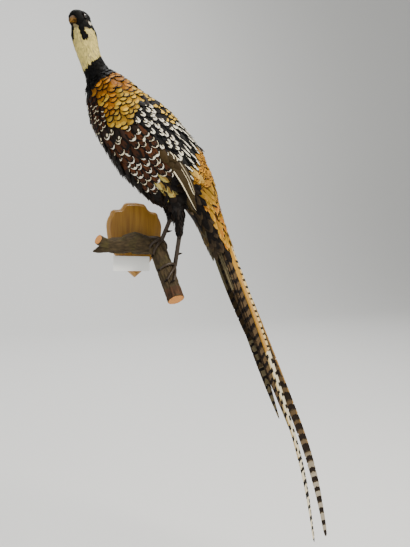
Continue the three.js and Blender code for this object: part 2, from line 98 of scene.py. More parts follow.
# A foot's place along and round the perch (degrees), and each toe's turn (degrees) and spread.
FEET = {
    "left": dict(ankle=[76, -118.2, 1], along=0.47, round=-60, spur=1,
                 toes=[[126, 0.06], [104, 0.26], [70, 0.3], [-46, 0.04]]),
    "right": dict(ankle=[68.5, -75.6, 44], along=0.06, round=-8, spur=-1,
                  toes=[[100, 0.06], [84, -0.1], [82, 0.2], [-58, 0.07]]),
}
TAIL_START, TAIL_SLOPE, TAIL_DROOP, TAIL_DRIFT, TAIL_LENGTH = (238, -15), 65.3, 13.0, 15.0, 922.0
TAIL_ROOF, TAIL_LAYER = 0.36, 1.9
# Lengths on the left and the right; depth under the ridge and width at five even stations.
TAIL_PAIRS = [
    dict(length=[882, 922], depth=[18, 20, 38, 57, 74], width=[24, 24, 20, 18, 9]),
    dict(length=[548, 508], depth=[27, 33, 41, 48, 53], width=[26, 26, 24, 18, 4]),
    dict(length=[482, 468], depth=[35, 39, 43, 48, 52], width=[26, 26, 24, 19, 4]),
    dict(length=[430, 418], depth=[40, 41, 44, 47, 50], width=[25, 25, 23, 18, 4]),
    dict(length=[340, 330], depth=[46, 48, 48, 48, 49], width=[26, 26, 24, 17, 4]),
]
TAIL_RIGHT_CENTRAL = dict(depth=[18, 13.5, 11, 9, 7], width=[24, 24, 22, 20, 10])

# ---- colours, sRGB
# Lit copies of the gold and ochre are painted highlights in the middle of the mantle feathers.
C = {
    "gold": (138, 84, 9), "gold_painted_highlight": (172, 114, 20), "yellow": (196, 158, 54), "ochre": (160, 118, 26),
    "ochre_painted_highlight": (192, 154, 52), "rim": (13, 8, 5), "black": (5, 4, 4), "sooty_black_and_glint": (12, 10, 8),
    "white": (244, 236, 214), "cream": (225, 207, 124), "chestnut": (68, 36, 15), "maroon": (34, 21, 12),
    "belly": (13, 8, 5), "umber": (30, 20, 12), "orange": (172, 118, 24), "olive": (52, 39, 17),
    "tuft": (178, 160, 86), "straw": (204, 164, 78), "grey": (176, 164, 142), "brown": (88, 70, 46),
    "dusk": (48, 37, 24), "bar": (18, 11, 7), "throat": (150, 136, 100), "buff": (190, 144, 76),
    "moss": (138, 110, 50), "ash": (120, 108, 78), "lily": (240, 226, 190), "cone": (158, 100, 28),
    # The grey-brown at the start of the next line is a painted glint beside the eye.
    "glint_highlight": (52, 46, 38), "amber": (188, 138, 52), "sand": (226, 194, 128),
}
C = {k: np.array(v) / 255 for k, v in C.items()}

CAM_PLACE = np.array([-0.2963, -1.02, -0.0872])
CAM_YAW = math.radians(26)
CAM_FOCAL, CAM_MIDDLE = 411.0, (205, 273.5)


def picture(points):
    """Where points (metres) fall in the camera's 410 x 547 picture."""
    d = np.asarray(points) - CAM_PLACE
    deep = d[:, 0] * math.sin(CAM_YAW) + d[:, 1] * math.cos(CAM_YAW)
    across = d[:, 0] * math.cos(CAM_YAW) - d[:, 1] * math.sin(CAM_YAW)
    return np.array(CAM_MIDDLE) + CAM_FOCAL * np.stack([across, -d[:, 2]], 1) / deep[:, None]


def unit(v):
    """The vectors on the last axis, with length 1."""
    v = np.asarray(v, float)
    return v / np.maximum(np.linalg.norm(v, axis=-1, keepdims=True), 1e-12)


def norm(v):
    """Lengths of the vectors on the last axis."""
    return np.linalg.norm(v, axis=-1)


def square(v, n):
    """The direction of v's part that is square to the unit vector n."""
    return unit(v - n * (v * n).sum(-1)[..., None])


def smoothstep(x, low, high):
    """0 up to low and 1 from high on, with a smooth rise between them."""
    t = np.clip((x - low) / (high - low), 0, 1)
    return t * t * (3 - 2 * t)


def circle(count):
    """Even angles round a circle."""
    return 2 * np.pi * np.arange(count) / count


def run_along(points):
    """Each point's distance along their line."""
    return np.concatenate([[0], np.cumsum(norm(np.diff(points, axis=0)))])


def read(at, run, rows):
    """The rows' values at places along their run."""
    return np.stack([np.interp(at, run, column) for column in rows.T], -1)


def through(rows):
    """A smooth curve through the stations, read at station numbers such as 2.5."""
    rows = np.array(rows, float)
    last = len(rows) - 1

    def at(s):
        s = np.asarray(s, float)
        i = np.clip(np.floor(s).astype(int), 0, last - 1)
        t = (s - i)[..., None]
        before, start, end, after = (rows[np.clip(i + k, 0, last)] for k in (-1, 0, 1, 2))
        slope_in, slope_out = (end - before) / 2, (after - start) / 2
        a = 2 * start - 2 * end + slope_in + slope_out
        b = -3 * start + 3 * end - 2 * slope_in - slope_out
        return ((a * t + b) * t + slope_in) * t + start

    return at


def in_middle(x):
    """Points in the bird's middle plane for stations that start with x and z."""
    return np.stack([x[:, 0], np.full(len(x), BIRD_Y), x[:, 1]], 1)


def head_point(along, side, up):
    """A place in millimetres from the head's own directions."""
    return HEAD_CENTRE + HEAD_ALONG * along + HEAD_SIDE * side + HEAD_UP * up


def wobble(*place):
    """Smooth noise from -1 to 1 at a place."""
    return noise.noise(Vector(place))


# ---- meshes from arrays
def in_scene(name, data):
    """A new object in the scene."""
    ob = bpy.data.objects.new(name, data)
    bpy.context.scene.collection.objects.link(ob)
    return ob


class Shell:
    """Collects faces with a colour each, and makes one mesh of them."""

    def __init__(self):
        self.v, self.faces, self.colours, self.maps, self.count = [], [], [], {}, 0

    def add(self, verts, faces, colours, **maps):
        """faces is a list of index arrays, a row per face; colours has one row per face, in order."""
        self.v.append(verts)
        for f in faces:
            self.faces += (f + self.count).tolist()
            for name, uv in maps.items():
                self.maps.setdefault(name, []).append(uv[f.ravel()])
        self.colours.append(colours)
        self.count += len(verts)

    def tube(self, points, sides, tones, ends=None, **maps):
        """A closed tube from its rings (millimetres); tones is one colour, or one per ring or per face."""
        rings = len(points) // sides
        verts, faces = capped(points, rings, sides)
        tones = np.atleast_2d(tones)
        tones = np.repeat(tones, (rings - 1) * sides // len(tones), 0)
        ends = np.broadcast_to(tones[0] if ends is None else ends, (2, 3))
        self.add(verts * MM, faces, np.concatenate([tones, np.repeat(ends, sides, 0)]), **maps)

    def make(self, name, material, slot, replaces=()):
        me = bpy.data.meshes.new(name)
        me.from_pydata(np.concatenate(self.v).tolist(), [], self.faces)
        me.polygons.foreach_set("use_smooth", np.ones(len(self.faces), bool))
        rgba = np.ones((len(me.loops), 4), np.float32)
        rgba[:, :3] = np.repeat(np.concatenate(self.colours), [len(f) for f in self.faces], axis=0)
        layer = me.color_attributes.new(name="Paint", type="BYTE_COLOR", domain="CORNER")
        layer.data.foreach_set("color_srgb", rgba.ravel())
        for key in sorted(self.maps, reverse=True):
            uv = np.concatenate(self.maps[key]).astype(np.float32)
            me.uv_layers.new(name=key).uv.foreach_set("vector", uv.ravel())
        me.update()
        me.validate()
        me.materials.append(material)
        ob = in_scene(name, me)
        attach(ob, "root")
        if replaces:
            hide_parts(*replaces)


def tube_faces(rings, sides):
    i, j = np.meshgrid(np.arange(rings - 1), np.arange(sides), indexing="ij")
    a = (i * sides + j).ravel()
    b = (i * sides + (j + 1) % sides).ravel()
    return np.stack([a, b, b + sides, a + sides], 1)


def capped(verts, rings, sides):
    """A closed tube: its rings, then one centre point at each end."""
    ends = np.stack([verts[:sides].mean(0), verts[-sides:].mean(0)])
    j = np.arange(sides)
    k = (j + 1) % sides
    base = (rings - 1) * sides
    first = np.stack([np.full(sides, rings * sides), k, j], 1)
    final = np.stack([np.full(sides, rings * sides + 1), base + j, base + k], 1)
    return np.concatenate([verts, ends]), [tube_faces(rings, sides), np.concatenate([first, final])]


def sweep(points, radii, sides, steps, ridges=0.0, pitch=3.0):
    """Rings of a round tube through the points (millimetres); ridges raise a scale every pitch."""
    at = through([[*p, r] for p, r in zip(points, radii)])
    last = len(points) - 1
    s = last * np.arange(steps + 1) / steps
    x = at(s)
    along = unit((at(np.minimum(s + 0.02, last)) - at(np.maximum(s - 0.02, 0)))[:, :3])
    side = unit(np.cross(along, np.where(np.abs(along[:, 2:]) > 0.9, [1.0, 0, 0], [0, 0, 1.0])))
    up = np.cross(side, along)
    angle = circle(sides)[:, None]
    r = x[:, 3] * (1 + ridges * np.abs(np.sin(math.pi * run_along(x[:, :3]) / pitch)))
    rings = np.cos(angle) * side[:, None] + np.sin(angle) * up[:, None]
    return (x[:, None, :3] + r[:, None, None] * rings).reshape(-1, 3)


# ---- materials
def node(mat, kind, inputs, **settings):
    """The outputs of a new shader node; each of its inputs is a value or another node's output."""
    new = mat.node_tree.nodes.new("ShaderNode" + kind)
    for key, value in settings.items():
        setattr(new, key, value)
    connect(mat, new, inputs)
    return new.outputs


def connect(mat, target, inputs):
    """Gives a node's inputs their values or links."""
    for key, value in inputs.items():
        if isinstance(value, bpy.types.NodeSocket):
            mat.node_tree.links.new(value, target.inputs[key])
        else:
            target.inputs[key].default_value = value


def material(name, roughness, paint=True, colour=None, coat=0.0, specular=0.4):
    """A plain material that shows the faces' Paint, or one colour."""
    mat = bpy.data.materials.new(name)
    mat.use_nodes = True
    inputs = {"Roughness": roughness, "Specular IOR Level": specular, "Coat Weight": coat}
    inputs["Coat Roughness"] = 0.12
    if paint:
        inputs["Base Color"] = node(mat, "VertexColor", {}, layer_name="Paint")["Color"]
    elif colour is not None:
        linear = [c / 12.92 if c < 0.04045 else ((c + 0.055) / 1.055) ** 2.4 for c in colour]
        inputs["Base Color"] = (*linear, 1)
    connect(mat, mat.node_tree.nodes["Principled BSDF"], inputs)
    return mat


# Slant of the barbs, their pitch (millimetres) and their relief (metres).
BARB_SLANT, BARB_PITCH, BARB_RELIEF = -0.9, 0.9, 0.0004


def feather_material(name, roughness, depth):
    """Plumage: face colours, with barbs raised by the Barbs map (millimetres across and along)."""
    mat = material(name, roughness, specular=0.12)
    place = node(mat, "SeparateXYZ", {0: node(mat, "UVMap", {}, uv_map="Barbs")["UV"]})
    side = node(mat, "Math", {0: place["X"]}, operation="ABSOLUTE")[0]
    slant = node(mat, "Math", {0: side, 1: BARB_SLANT, 2: place["Y"]}, operation="MULTIPLY_ADD")[0]
    turn = node(mat, "Math", {0: slant, 1: 2 * math.pi / BARB_PITCH}, operation="MULTIPLY")[0]
    wave = node(mat, "Math", {0: turn}, operation="SINE")[0]
    bump = node(mat, "Bump", {"Strength": depth, "Distance": BARB_RELIEF, "Height": wave})
    connect(mat, mat.node_tree.nodes["Principled BSDF"], {"Normal": bump["Normal"]})
    return mat


PLUMAGE = feather_material("plumage", 0.55, 0.25)
HEAD_PLUMAGE = feather_material("head_plumage", 0.65, 0.15)
TAIL_PLUMAGE = feather_material("tail_plumage", 0.5, 0.35)
SKIN = material("skin_under_plumage", 0.8)
HORN = material("horn", 0.6, specular=0.08)
LEG = material("scaled_leg", 0.5)
GLASS = material("glass_eye", 0.06, coat=1.0, specular=0.6)
LID = material("eyelid", 0.9, specular=0.05)
BARK = material("bark", 0.85, specular=0.25)
CARD = material("card", 0.6, paint=False, colour=(0.99, 0.99, 0.97))

# ---- the skin
FLESH = ["trunk", "tail_coverts", "neck", "head", "wing_left", "wing_right", "leg_left", "leg_right"]


def vectors(me, key="co"):
    """A mesh's places or normals, one row per vertex."""
    v = np.empty(len(me.vertices) * 3)
    me.vertices.foreach_get(key, v)
    return v.reshape(-1, 3)


def remeshed(names, voxel, smooth):
    """One closed mesh round the named solids, its vertices and its quads."""
    verts, faces, start = [], [], 0
    for name in names:
        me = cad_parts[name].data
        verts.append(vectors(me))
        faces += [[i + start for i in p.vertices] for p in me.polygons]
        start += len(me.vertices)
    me = bpy.data.meshes.new("joined")
    me.from_pydata(np.concatenate(verts).tolist(), [], faces)
    ob = in_scene("joined", me)
    step = ob.modifiers.new("one", "REMESH")
    step.mode = "VOXEL"
    step.voxel_size = voxel
    step = ob.modifiers.new("even", "SMOOTH")
    step.factor = 0.5
    step.iterations = smooth
    out = bpy.data.meshes.new_from_object(ob.evaluated_get(bpy.context.evaluated_depsgraph_get()))
    bpy.data.objects.remove(ob)
    return out, vectors(out), np.array([tuple(p.vertices) for p in out.polygons])


def axis_samples():
    """The bird's axis from the bill's root to the tail's: points, tangents, sides, upward ways, reach."""
    neck = through(NECK)(np.linspace(4.6, 1.2, 18))
    trunk = through(TRUNK)(np.linspace(1.5, 10, 60))
    head = [head_point(along, 0, 0) for along in (24, 16, 8, 0)]
    points = np.concatenate([head, neck[:, :3], in_middle(trunk)])
    reach = np.concatenate([[14, 17, 19, 20], neck[:, 3:].max(1), trunk[:, 2:].max(1)])
    tangents = unit(np.gradient(points, axis=0))
    side = square(RIGHT, tangents)
    return points, tangents, side, np.cross(tangents, side), reach


AXIS, AXIS_T, AXIS_SIDE, AXIS_UP, AXIS_REACH = axis_samples()
AXIS_RUN = run_along(AXIS)
# Axis samples where the face, head, nape and neck end; leg shares where the leg and its own colour start,
# and where the trunk's feathers end.
FACE_END, HEAD_END, NAPE_END, NECK_END = 6, 12, 22, 34
LEG_TOP, THIGH_TOP, COAT_END = 0.3, 0.42, 0.62


def on_axis(points):
    """Index of the nearest axis sample and the angle round it, for points in millimetres."""
    index = np.concatenate([(norm(block[:, None] - AXIS) - AXIS_REACH).argmin(1)
                            for block in np.array_split(points, len(points) // 20000 + 1)])
    d = points - AXIS[index]
    return index, np.arctan2((d * AXIS_UP[index]).sum(1), (d * AXIS_SIDE[index]).sum(1))


def leg_share(points):
    """How far down a leg a point lies: 0 at the body, 1 at the ankle; -1 where no leg is."""
    share = np.full(len(points), -1.0)
    for rows in LEGS.values():
        stations = np.linspace(0.6, len(rows) - 1, 24)
        x = through(rows)(stations)
        gap = norm(points[:, None] - x[:, :3]) / (x[:, 3] + 2)
        best = gap.argmin(1)
        near = gap[np.arange(len(points)), best] < 1.12
        share[near] = np.maximum(share[near], stations[best[near]] / (len(rows) - 1))
    return share


def unwrap(points):
    """Bake map of the skin's own shape: axis and angle for the body, another island for each leg."""
    leg_height = 92
    index, angle = on_axis(points)
    below = (leg_share(points) > LEG_TOP) & (points[:, 2] < leg_height)
    right = points[:, 1] > BIRD_Y
    turn = np.arctan2(points[:, 1] - np.where(right, -72, -122), points[:, 0] - 70) / (2 * np.pi) + 0.5
    u = np.where(below, 0.8 + 0.19 * np.clip((leg_height - points[:, 2]) / 100, 0, 1),
                 0.01 + 0.76 * AXIS_RUN[index] / AXIS_RUN[-1])
    v = np.where(below, np.where(right, 0.51, 0.01) + 0.47 * turn, 0.01 + 0.98 * (angle / (2 * np.pi) + 0.5))
    return np.stack([u, v], 1)


def coat_depth(points):
    """Depth of the plumage over the skin in millimetres."""
    index, _ = on_axis(points)
    depth = np.interp(AXIS_RUN[index], [0, 30, 60, 130, 190], [1.6, 1.8, 2.6, 4.0, 6.0])
    share = leg_share(points)
    return np.where(share > LEG_TOP, np.interp(share, [LEG_TOP, 0.7, 1.0], [5.0, 2.6, 1.2]), depth)


base, skin_v, skin_quads = remeshed(FLESH, 0.0026, 6)
skin_v = skin_v - vectors(base, "normal") * (coat_depth(skin_v / MM) * MM)[:, None]
TREE = BVHTree.FromPolygons(skin_v.tolist(), skin_quads.tolist())

# ---- markings
# Outlines of the head's markings and of a painted glint beside the eye, in the camera's picture; the far side
# mirrors the near one.
MASK = [
    (66, 18), (66, 13), (70, 8), (77, 7), (86, 11), (93, 19), (97.5, 28), (99, 35), (97, 36), (95, 30.8),
    (92.5, 29.4), (89, 29), (86.8, 27.2), (84.6, 28), (84.2, 30), (85.8, 31.4), (87.8, 34.8), (88.2, 38),
    (86.6, 39.6), (83.8, 39.8), (82, 37.6), (80.4, 34.2), (79.9, 30.4), (78.8, 28.4), (78.6, 25.4),
    (77, 24.4), (73, 23), (66, 24),
]
STREAK = [(88, 21.6), (89.4, 22), (91.6, 25), (91.2, 26.6), (89.2, 25)]
# The glint's outline: feathers painted a lighter grey-brown as a highlight beside the eye.
PAINTED_GLINT = [(84.4, 19.4), (86, 18.8), (88, 21.8), (87, 23)]
NAPE = [
    (92.4, 22), (100, 22), (104, 45), (97.8, 43.5), (95.4, 36.5), (93.6, 31.5), (91.6, 29.2), (89.6, 27.6),
]
COLLAR_TOP = [(76, 62), (81, 64), (84.5, 71), (87.5, 67), (91, 63.5), (94.5, 60.5), (98.5, 57), (104, 56)]
COLLAR_END = [-30, -19, -12, 0, 12, 22], [12, 7, 5, -1, 3, 0]
GOLD_END = [-18, -5, 7.5, 12.5, 19, 28], [46, 53, 51, 46, 41.5, 41]
GOLD_LOW = [4, 15, 30, 37, 45], [-14.6, -11, -16, -19.8, -17.6]
BACK_START, DOWN = (98, 82), (0.666, 0.746)


def inside(poly, p):
    """Marks the points that lie inside a closed outline."""
    x, y = p[:, 0], p[:, 1]
    hit = np.zeros(len(p), bool)
    for (x0, y0), (x1, y1) in zip(poly, poly[1:] + poly[:1]):
        if y0 != y1:
            hit ^= ((y0 > y) != (y1 > y)) & (x < x0 + (y - y0) * (x1 - x0) / (y1 - y0))
    return hit


def zones(points):
    """A marking's name, or the painted glint's, for each point (metres), and its place (a, b) down and across
    the body.
    """
    index, _ = on_axis(points / MM)
    on_head = index < HEAD_END
    local = points / MM - HEAD_CENTRE
    along, side, up = local @ HEAD_ALONG, local @ HEAD_SIDE, local @ HEAD_UP
    near = points.copy()
    near[:, 1] = np.minimum(points[:, 1], 2 * BIRD_Y * MM - points[:, 1])
    near_face = head_point(along[:, None], -side[:, None], up[:, None]) * MM
    near_face = np.where((side > 0)[:, None], near_face, points)
    q = picture(np.where(on_head[:, None], near_face, near))
    a = DOWN[0] * (q[:, 0] - BACK_START[0]) + DOWN[1] * (q[:, 1] - BACK_START[1])
    b = DOWN[1] * (q[:, 0] - BACK_START[0]) - DOWN[0] * (q[:, 1] - BACK_START[1])
    name = np.full(len(points), "belly", object)
    divide = -3.4 - (a - 164) * 0.262
    far = 999
    # Each marking's reach: over and under which a, over and under which b; later ones lie on top.
    for kind, a_low, a_high, b_low, b_high in (
            ("rump", 118, far, 9.6 - (a - 120) * 0.25, far), ("breast", -far, 46, -far, -10),
            ("crescent", 40, 122, -36, 4), ("pied", 46, 134 - 0.9 * (b - 10), 3, far),
            ("splash", 84, 134 - 0.9 * (b - 10), 18.5 + (98 - a) * 0.3, far),
            ("splash", 111, 134 - 0.9 * (b - 10), 3, far), ("yellow", 40, 80, 23.5, far),
            ("mantle", 0, np.interp(b, *GOLD_END), np.interp(a, *GOLD_LOW), far), ("olive", 97, 117, -4, 7.5),
            ("straw", 126, 143, 8.5, 13.5), ("tuft", 114, 137, (a - 114) * 0.2 - 27, (a - 114) * -0.1 - 13),
            ("covert", 150, far, divide, far), ("under", 146, far, -far, divide),
            ("pale", 168, far, -far, divide - 13), ("collar", -far, np.interp(b, *COLLAR_END), -far, far)):
        name[(a > a_low) & (a < a_high) & (b > b_low) & (b < b_high)] = kind
    name[leg_share(points / MM) > THIGH_TOP] = "thigh"
    name[(q[:, 1] < np.interp(q[:, 0], *np.array(COLLAR_TOP).T)) & (index < NECK_END)] = "neck"
    name[on_head & inside(MASK, q)] = "mask"
    name[on_head & inside(STREAK, q)] = "streak"
    name[(index < NAPE_END) & (on_head | (points[:, 1] < BIRD_Y * MM)) & inside(NAPE, q)] = "mask"
    # Painted highlight: lighter feathers for a glint beside the eye.
    name[on_head & inside(PAINTED_GLINT, q)] = "sooty_black_and_glint"
    name[on_head & (up > 16.5) & (along < 6) & (abs(side) < 9)] = "crown"
    name[on_head & (q[:, 1] > 22) & (q[:, 1] < 28.6) & (name == "neck") & (along > 2)] = "throat"
    return name, a, b


# The colour under each marking and under the painted glint, where it isn't the colour of the same name.
GROUND = {
    "rump": "orange", "breast": "maroon", "crescent": "chestnut", "pied": "black", "mantle": "gold",
    "covert": "gold", "under": "umber", "collar": "black", "thigh": "belly", "neck": "cream",
    "mask": "black", "streak": "white", "crown": "white", "splash": "black", "pale": "olive",
    # The glint zone's lighter grey-brown is a painted highlight.
    "sooty_black_and_glint": "glint_highlight",
}
skin = Shell()
centres = skin_v[skin_quads].mean(1)
skin_tones = np.array([C[GROUND.get(n, n)] for n in zones(centres)[0]]) * 0.75
skin.add(skin_v, [skin_quads], skin_tones, OFBake=unwrap(skin_v / MM))
skin.make("skin", SKIN, "body_plumage", FLESH)


# ---- feathers of the coat
class Template:
    """One feather in its own plane: rings about a point behind its tip, u across and v along."""

    def __init__(self, rings, sides, point=0.0):
        n, j = len(rings), np.arange(sides)
        t = 2 * np.pi * (j + 0.5) / sides - np.pi
        front = np.cos(t) > 0
        u = 0.5 * np.sin(t) * np.where(front, 1 - point * np.cos(t) ** 2, 1 - 0.42 * np.cos(t) ** 2)
        v = np.where(front, 0.45, 0.55) * np.cos(t)
        self.uv = np.concatenate([np.stack([r * u, 0.55 + r * v], 1) for r in rings] + [[[0.0, 0.55]]])
        last = (n - 1) * sides
        tip = np.stack([last + (j + 1) % sides, last + j, np.full(sides, n * sides)], 1)
        self.faces = [tube_faces(n, sides)[:, ::-1], tip]
        self.mid = np.repeat((np.array(rings) + [*rings[1:], 0.0]) / 2, sides)
        self.signed = np.tile((np.degrees(2 * np.pi * (j + 1) / sides - np.pi) + 180) % 360 - 180, n)
        self.edge = np.arange(len(self.uv)) < sides


BIG = {
    "mantle": Template([1, 0.85, 0.72, 0.5, 0.22], 20), "yellow": Template([1, 0.7, 0.48, 0.22], 16),
    "pied": Template([1, 0.86, 0.72, 0.56, 0.38, 0.2], 24),
    "crescent": Template([1, 0.91, 0.82, 0.72, 0.56, 0.25], 24),
    "breast": Template([1, 0.88, 0.7, 0.5, 0.25], 16), "rump": Template([1, 0.8, 0.45], 14),
    "long": Template([1, 0.8, 0.55, 0.25], 16, 0.35), "drop": Template([1, 0.84, 0.66, 0.46, 0.24], 20, 0.2),
    "plain": Template([1, 0.75, 0.4], 12), "small": Template([1, 0.66, 0.3], 11, 0.34),
    "strand": Template([1, 0.5], 8, 0.3),
}
# A heart: colour, shade, inner and outer ring, and its angles about the tip.
HEART = [
    ("white", 0.97, 0.72, 0.86, -22, 38), ("white", 0.97, 0.56, 0.72, -46, 56),
    ("white", 0.95, 0.38, 0.56, 6, 72), ("lily", 0.95, 0.38, 0.56, -58, -22),
    ("white", 0.93, 0.2, 0.38, 30, 95),
]


def paint(kind, t, tone, skew, a, b):
    """Face colours of one feather: t is its template; tone (0 to 1) and skew are its own."""
    rho, turn = t.mid, np.abs(t.signed - 12 * skew)
    col = np.empty((len(rho), 3))
    shade = 0.84 + 0.3 * round(tone * 4) / 4

    def fill(name, by=1.0, inner=0, outer=1, within=999, mask=True):
        """Colours the faces between two rings, within an angle of the tip."""
        col[(rho > inner) & (rho < outer) & (turn < within) & mask] = np.clip(C[name] * by, 0, 1)

    if kind == "mantle":
        late = a > 8 + 30 * (tone * 3.7 % 1)
        fill("ochre" if late else "gold", shade)
        # Painted highlight: a lit copy of the gold or ochre across the middle of each mantle feather.
        fill("ochre_painted_highlight" if late else "gold_painted_highlight", shade, 0.22, 0.72, 56)
        fill("rim", 1, 0.85, 1, 104)
        fill("rim", 1, 0.72, 1, 60)
    elif kind == "yellow":
        fill("yellow", shade)
        fill("rim", 1, 0.7, 1, 122)
        fill("rim", mask=(turn > 96) | (tone < 0.3))
    elif kind == "pied":
        fill("black")
        flip = (1 if tone * 13.1 % 1 > 0.4 else -1) / (0.85 + 0.3 * (tone * 7.3 % 1))
        for name, by, inner, outer, low, high in HEART if tone > 0.06 else []:
            fill(name, by, inner, outer, mask=(t.signed * flip > low) & (t.signed * flip < high))
    elif kind == "splash":
        fill("black")
        if tone > 0.1:
            fill("white", 0.96, 0.66, 0.84, 20)
            fill("white", 0.96, 0.46, 0.66, 32)
            fill("white", 0.95, 0.24, 0.46, mask=(turn < 58) | (turn > 160))
            fill("white", 0.95, 0, 0.24)
    elif kind == "crescent":
        early = a < 67 + 0.5 * b
        fill("umber" if early else "chestnut", shade)
        fill("rim", 1, 0.5, 1, 120)
        fill("maroon", shade, 0, 0.56, 30)
        if early:
            fill("lily", 0.92, 0.25, 0.56, mask=(t.signed > 5) & (t.signed < 70))
        if tone > 0.05:
            wide = 44 + 30 * (tone * 5.1 % 1)
            pale = "lily" if tone < 0.5 else "white"
            fill(pale, 0.97, 0.72, 0.91, wide * (0.5 if tone > 0.4 else 0.2))
            fill(pale, 0.94, 0.82, 0.91, wide)
        if tone > 0.8:
            fill("lily", 1, 0.56, 0.72, 18)
    elif kind == "breast":
        fill("chestnut", 0.85 * shade)
        fill("rim", 1, 0.5, 1, 95)
        if tone > 0.34:
            fill("lily", 0.88, 0.7, 0.88, 32 + 28 * (tone * 7 % 1))
    elif kind == "rump":
        fill("orange", shade)
        fill("rim" if tone > 0.3 else "chestnut", 1, 0.8, 1, 75)
        if tone > 0.5:
            fill("chestnut", 1, 0, 0.45, 60)
    elif kind == "covert":
        fill("cone" if tone > 0.8 else "ochre", 0.95 * shade)
        fill("amber", shade, 0.55, 1, 60)
        if tone > 0.3 + 0.45 * (b < np.interp(a, [150, 240], [3, -16])):
            fill("rim", 1, 0.55, 1, 36)
    elif kind == "under":
        barred = (a + 0.5 * b) % 11 < 5.5
        fill("bar" if barred else "dusk", shade)
        fill("bar" if barred else "brown", 0.68 * shade, 0.55, 1, 60)
    elif kind == "pale":
        fill("olive", shade)
        fill("moss" if tone > 0.5 else "ash", 0.6, 0.55, 1, 80)
    elif kind == "tuft":
        pale = a < 123 or tone > 0.7
        fill("tuft" if pale else "moss", shade)
        fill("moss" if pale else "umber", shade, 0.25, mask=t.signed > 0)
        fill("umber" if pale else "tuft", 1, 0.8, 1, 60)
    elif kind == "olive":
        fill("olive", shade)
        edge = (t.signed > 20) & (t.signed < 120)
        fill("lily" if b > 2.5 and a < 112 else "olive", 1, 0.75, mask=edge)
    elif kind == "straw":
        fill("straw", shade)
        fill("buff", 1, 0.8, 1, 50)
    # The glint zone among these is a painted highlight, in a lighter grey-brown.
    elif kind in ("neck", "throat", "crown", "streak", "sooty_black_and_glint"):
        fill(GROUND.get(kind, kind), 0.86 + 0.18 * round(tone * 3) / 3)
        if kind == "neck" and tone > 0.92:
            fill("throat", 1.15)
    elif kind in ("collar", "mask"):
        fill("black" if tone > 0.3 else "sooty_black_and_glint")
    else:
        fill("belly" if tone > 0.35 else "umber", shade if tone < 0.35 else 1)
    return col


def nearest(points):
    """Nearest skin places and normals for an array of points."""
    found = [TREE.find_nearest(p)[:2] for p in points.reshape(-1, 3).tolist()]
    found = np.array([[*place, *normal] for place, normal in found]).reshape(*points.shape[:-1], 2, 3)
    return found[..., 0, :], found[..., 1, :]


# Wear of the edges; bow across a vane; share of a step by which a rib may leave the skin; how near the skin
# has to be for a vane to settle on it, and its least height over it (metres); size on the bake map.
WEAR, BOW, STRAY, SETTLE, LEAST, BAKE_SIZE = 0.1, -0.09, 0.55, 0.0045, 0.0002, 0.003


def lay(shell, t, roots, lie, kinds, spot_ab, length, width, top, snap=True, steps=5, base_lift=0.4,
        turn_limit=0.86):
    """Lays a feather of template t from each root along the skin; metres, but base_lift in millimetres."""
    n = len(roots)
    place, normal = nearest(roots)
    along = square(lie, normal)
    ribs, step = [(place, normal, along)], (length / steps)[:, None]
    for _ in range(steps):
        ahead = place + along * step
        got, gn = nearest(ahead)
        keep = ((norm(got - ahead) > STRAY * step[:, 0]) | ((gn * normal).sum(1) <= turn_limit))[:, None]
        place = np.where(keep, ahead, got)
        normal = np.where(keep, normal, gn)
        along = square(along, normal)
        ribs.append((place, normal, along))
    ribs = np.array(ribs)
    bake = unwrap(roots / MM)
    tone, roll = rng.random(n), rng.normal(0, 0.05, n)
    jump, skew = rng.normal(0, 0.08, n), rng.normal(0, 1, n)
    worn = np.where(t.edge, 1 - WEAR * rng.random((n, len(t.edge))), 1)
    u, v = t.uv[:, 0] * worn, 0.55 + (t.uv[:, 1] - 0.55) * worn
    f = np.clip(v, 0, 1) * steps
    k = np.minimum(f.astype(int), steps - 1)
    w, i = (f - k)[..., None], np.arange(n)[:, None]
    p, nor, tan = (ribs[k, part, i] * (1 - w) + ribs[k + 1, part, i] * w for part in range(3))
    nor = unit(nor)
    length, width, top, roll, jump = (x[:, None] for x in (length, width, top, roll, jump))
    p = p + unit(np.cross(nor, tan)) * (u * width)[..., None]
    if snap:
        got, gn = nearest(p)
        near = ((norm(got - p) < SETTLE) & ((gn * nor).sum(2) > 0.7))[..., None]
        p, nor = np.where(near, got, p), np.where(near, gn, nor)
    rise = base_lift * MM + (top - base_lift * MM) * v ** 0.85 * (1 + jump)
    height = rise + BOW * width * (2 * u) ** 2 * v + roll * u * width
    verts = p + nor * np.maximum(height, LEAST)[..., None]
    spots = bake[:, None] + (t.uv - [0, 0.5]) * BAKE_SIZE
    barbs = np.stack([u * width, v * length], 2) / MM
    for j in range(n):
        shell.add(verts[j], t.faces, paint(kinds[j], t, tone[j], skew[j], *spot_ab[j]), OFBake=spots[j],
                  Barbs=barbs[j])


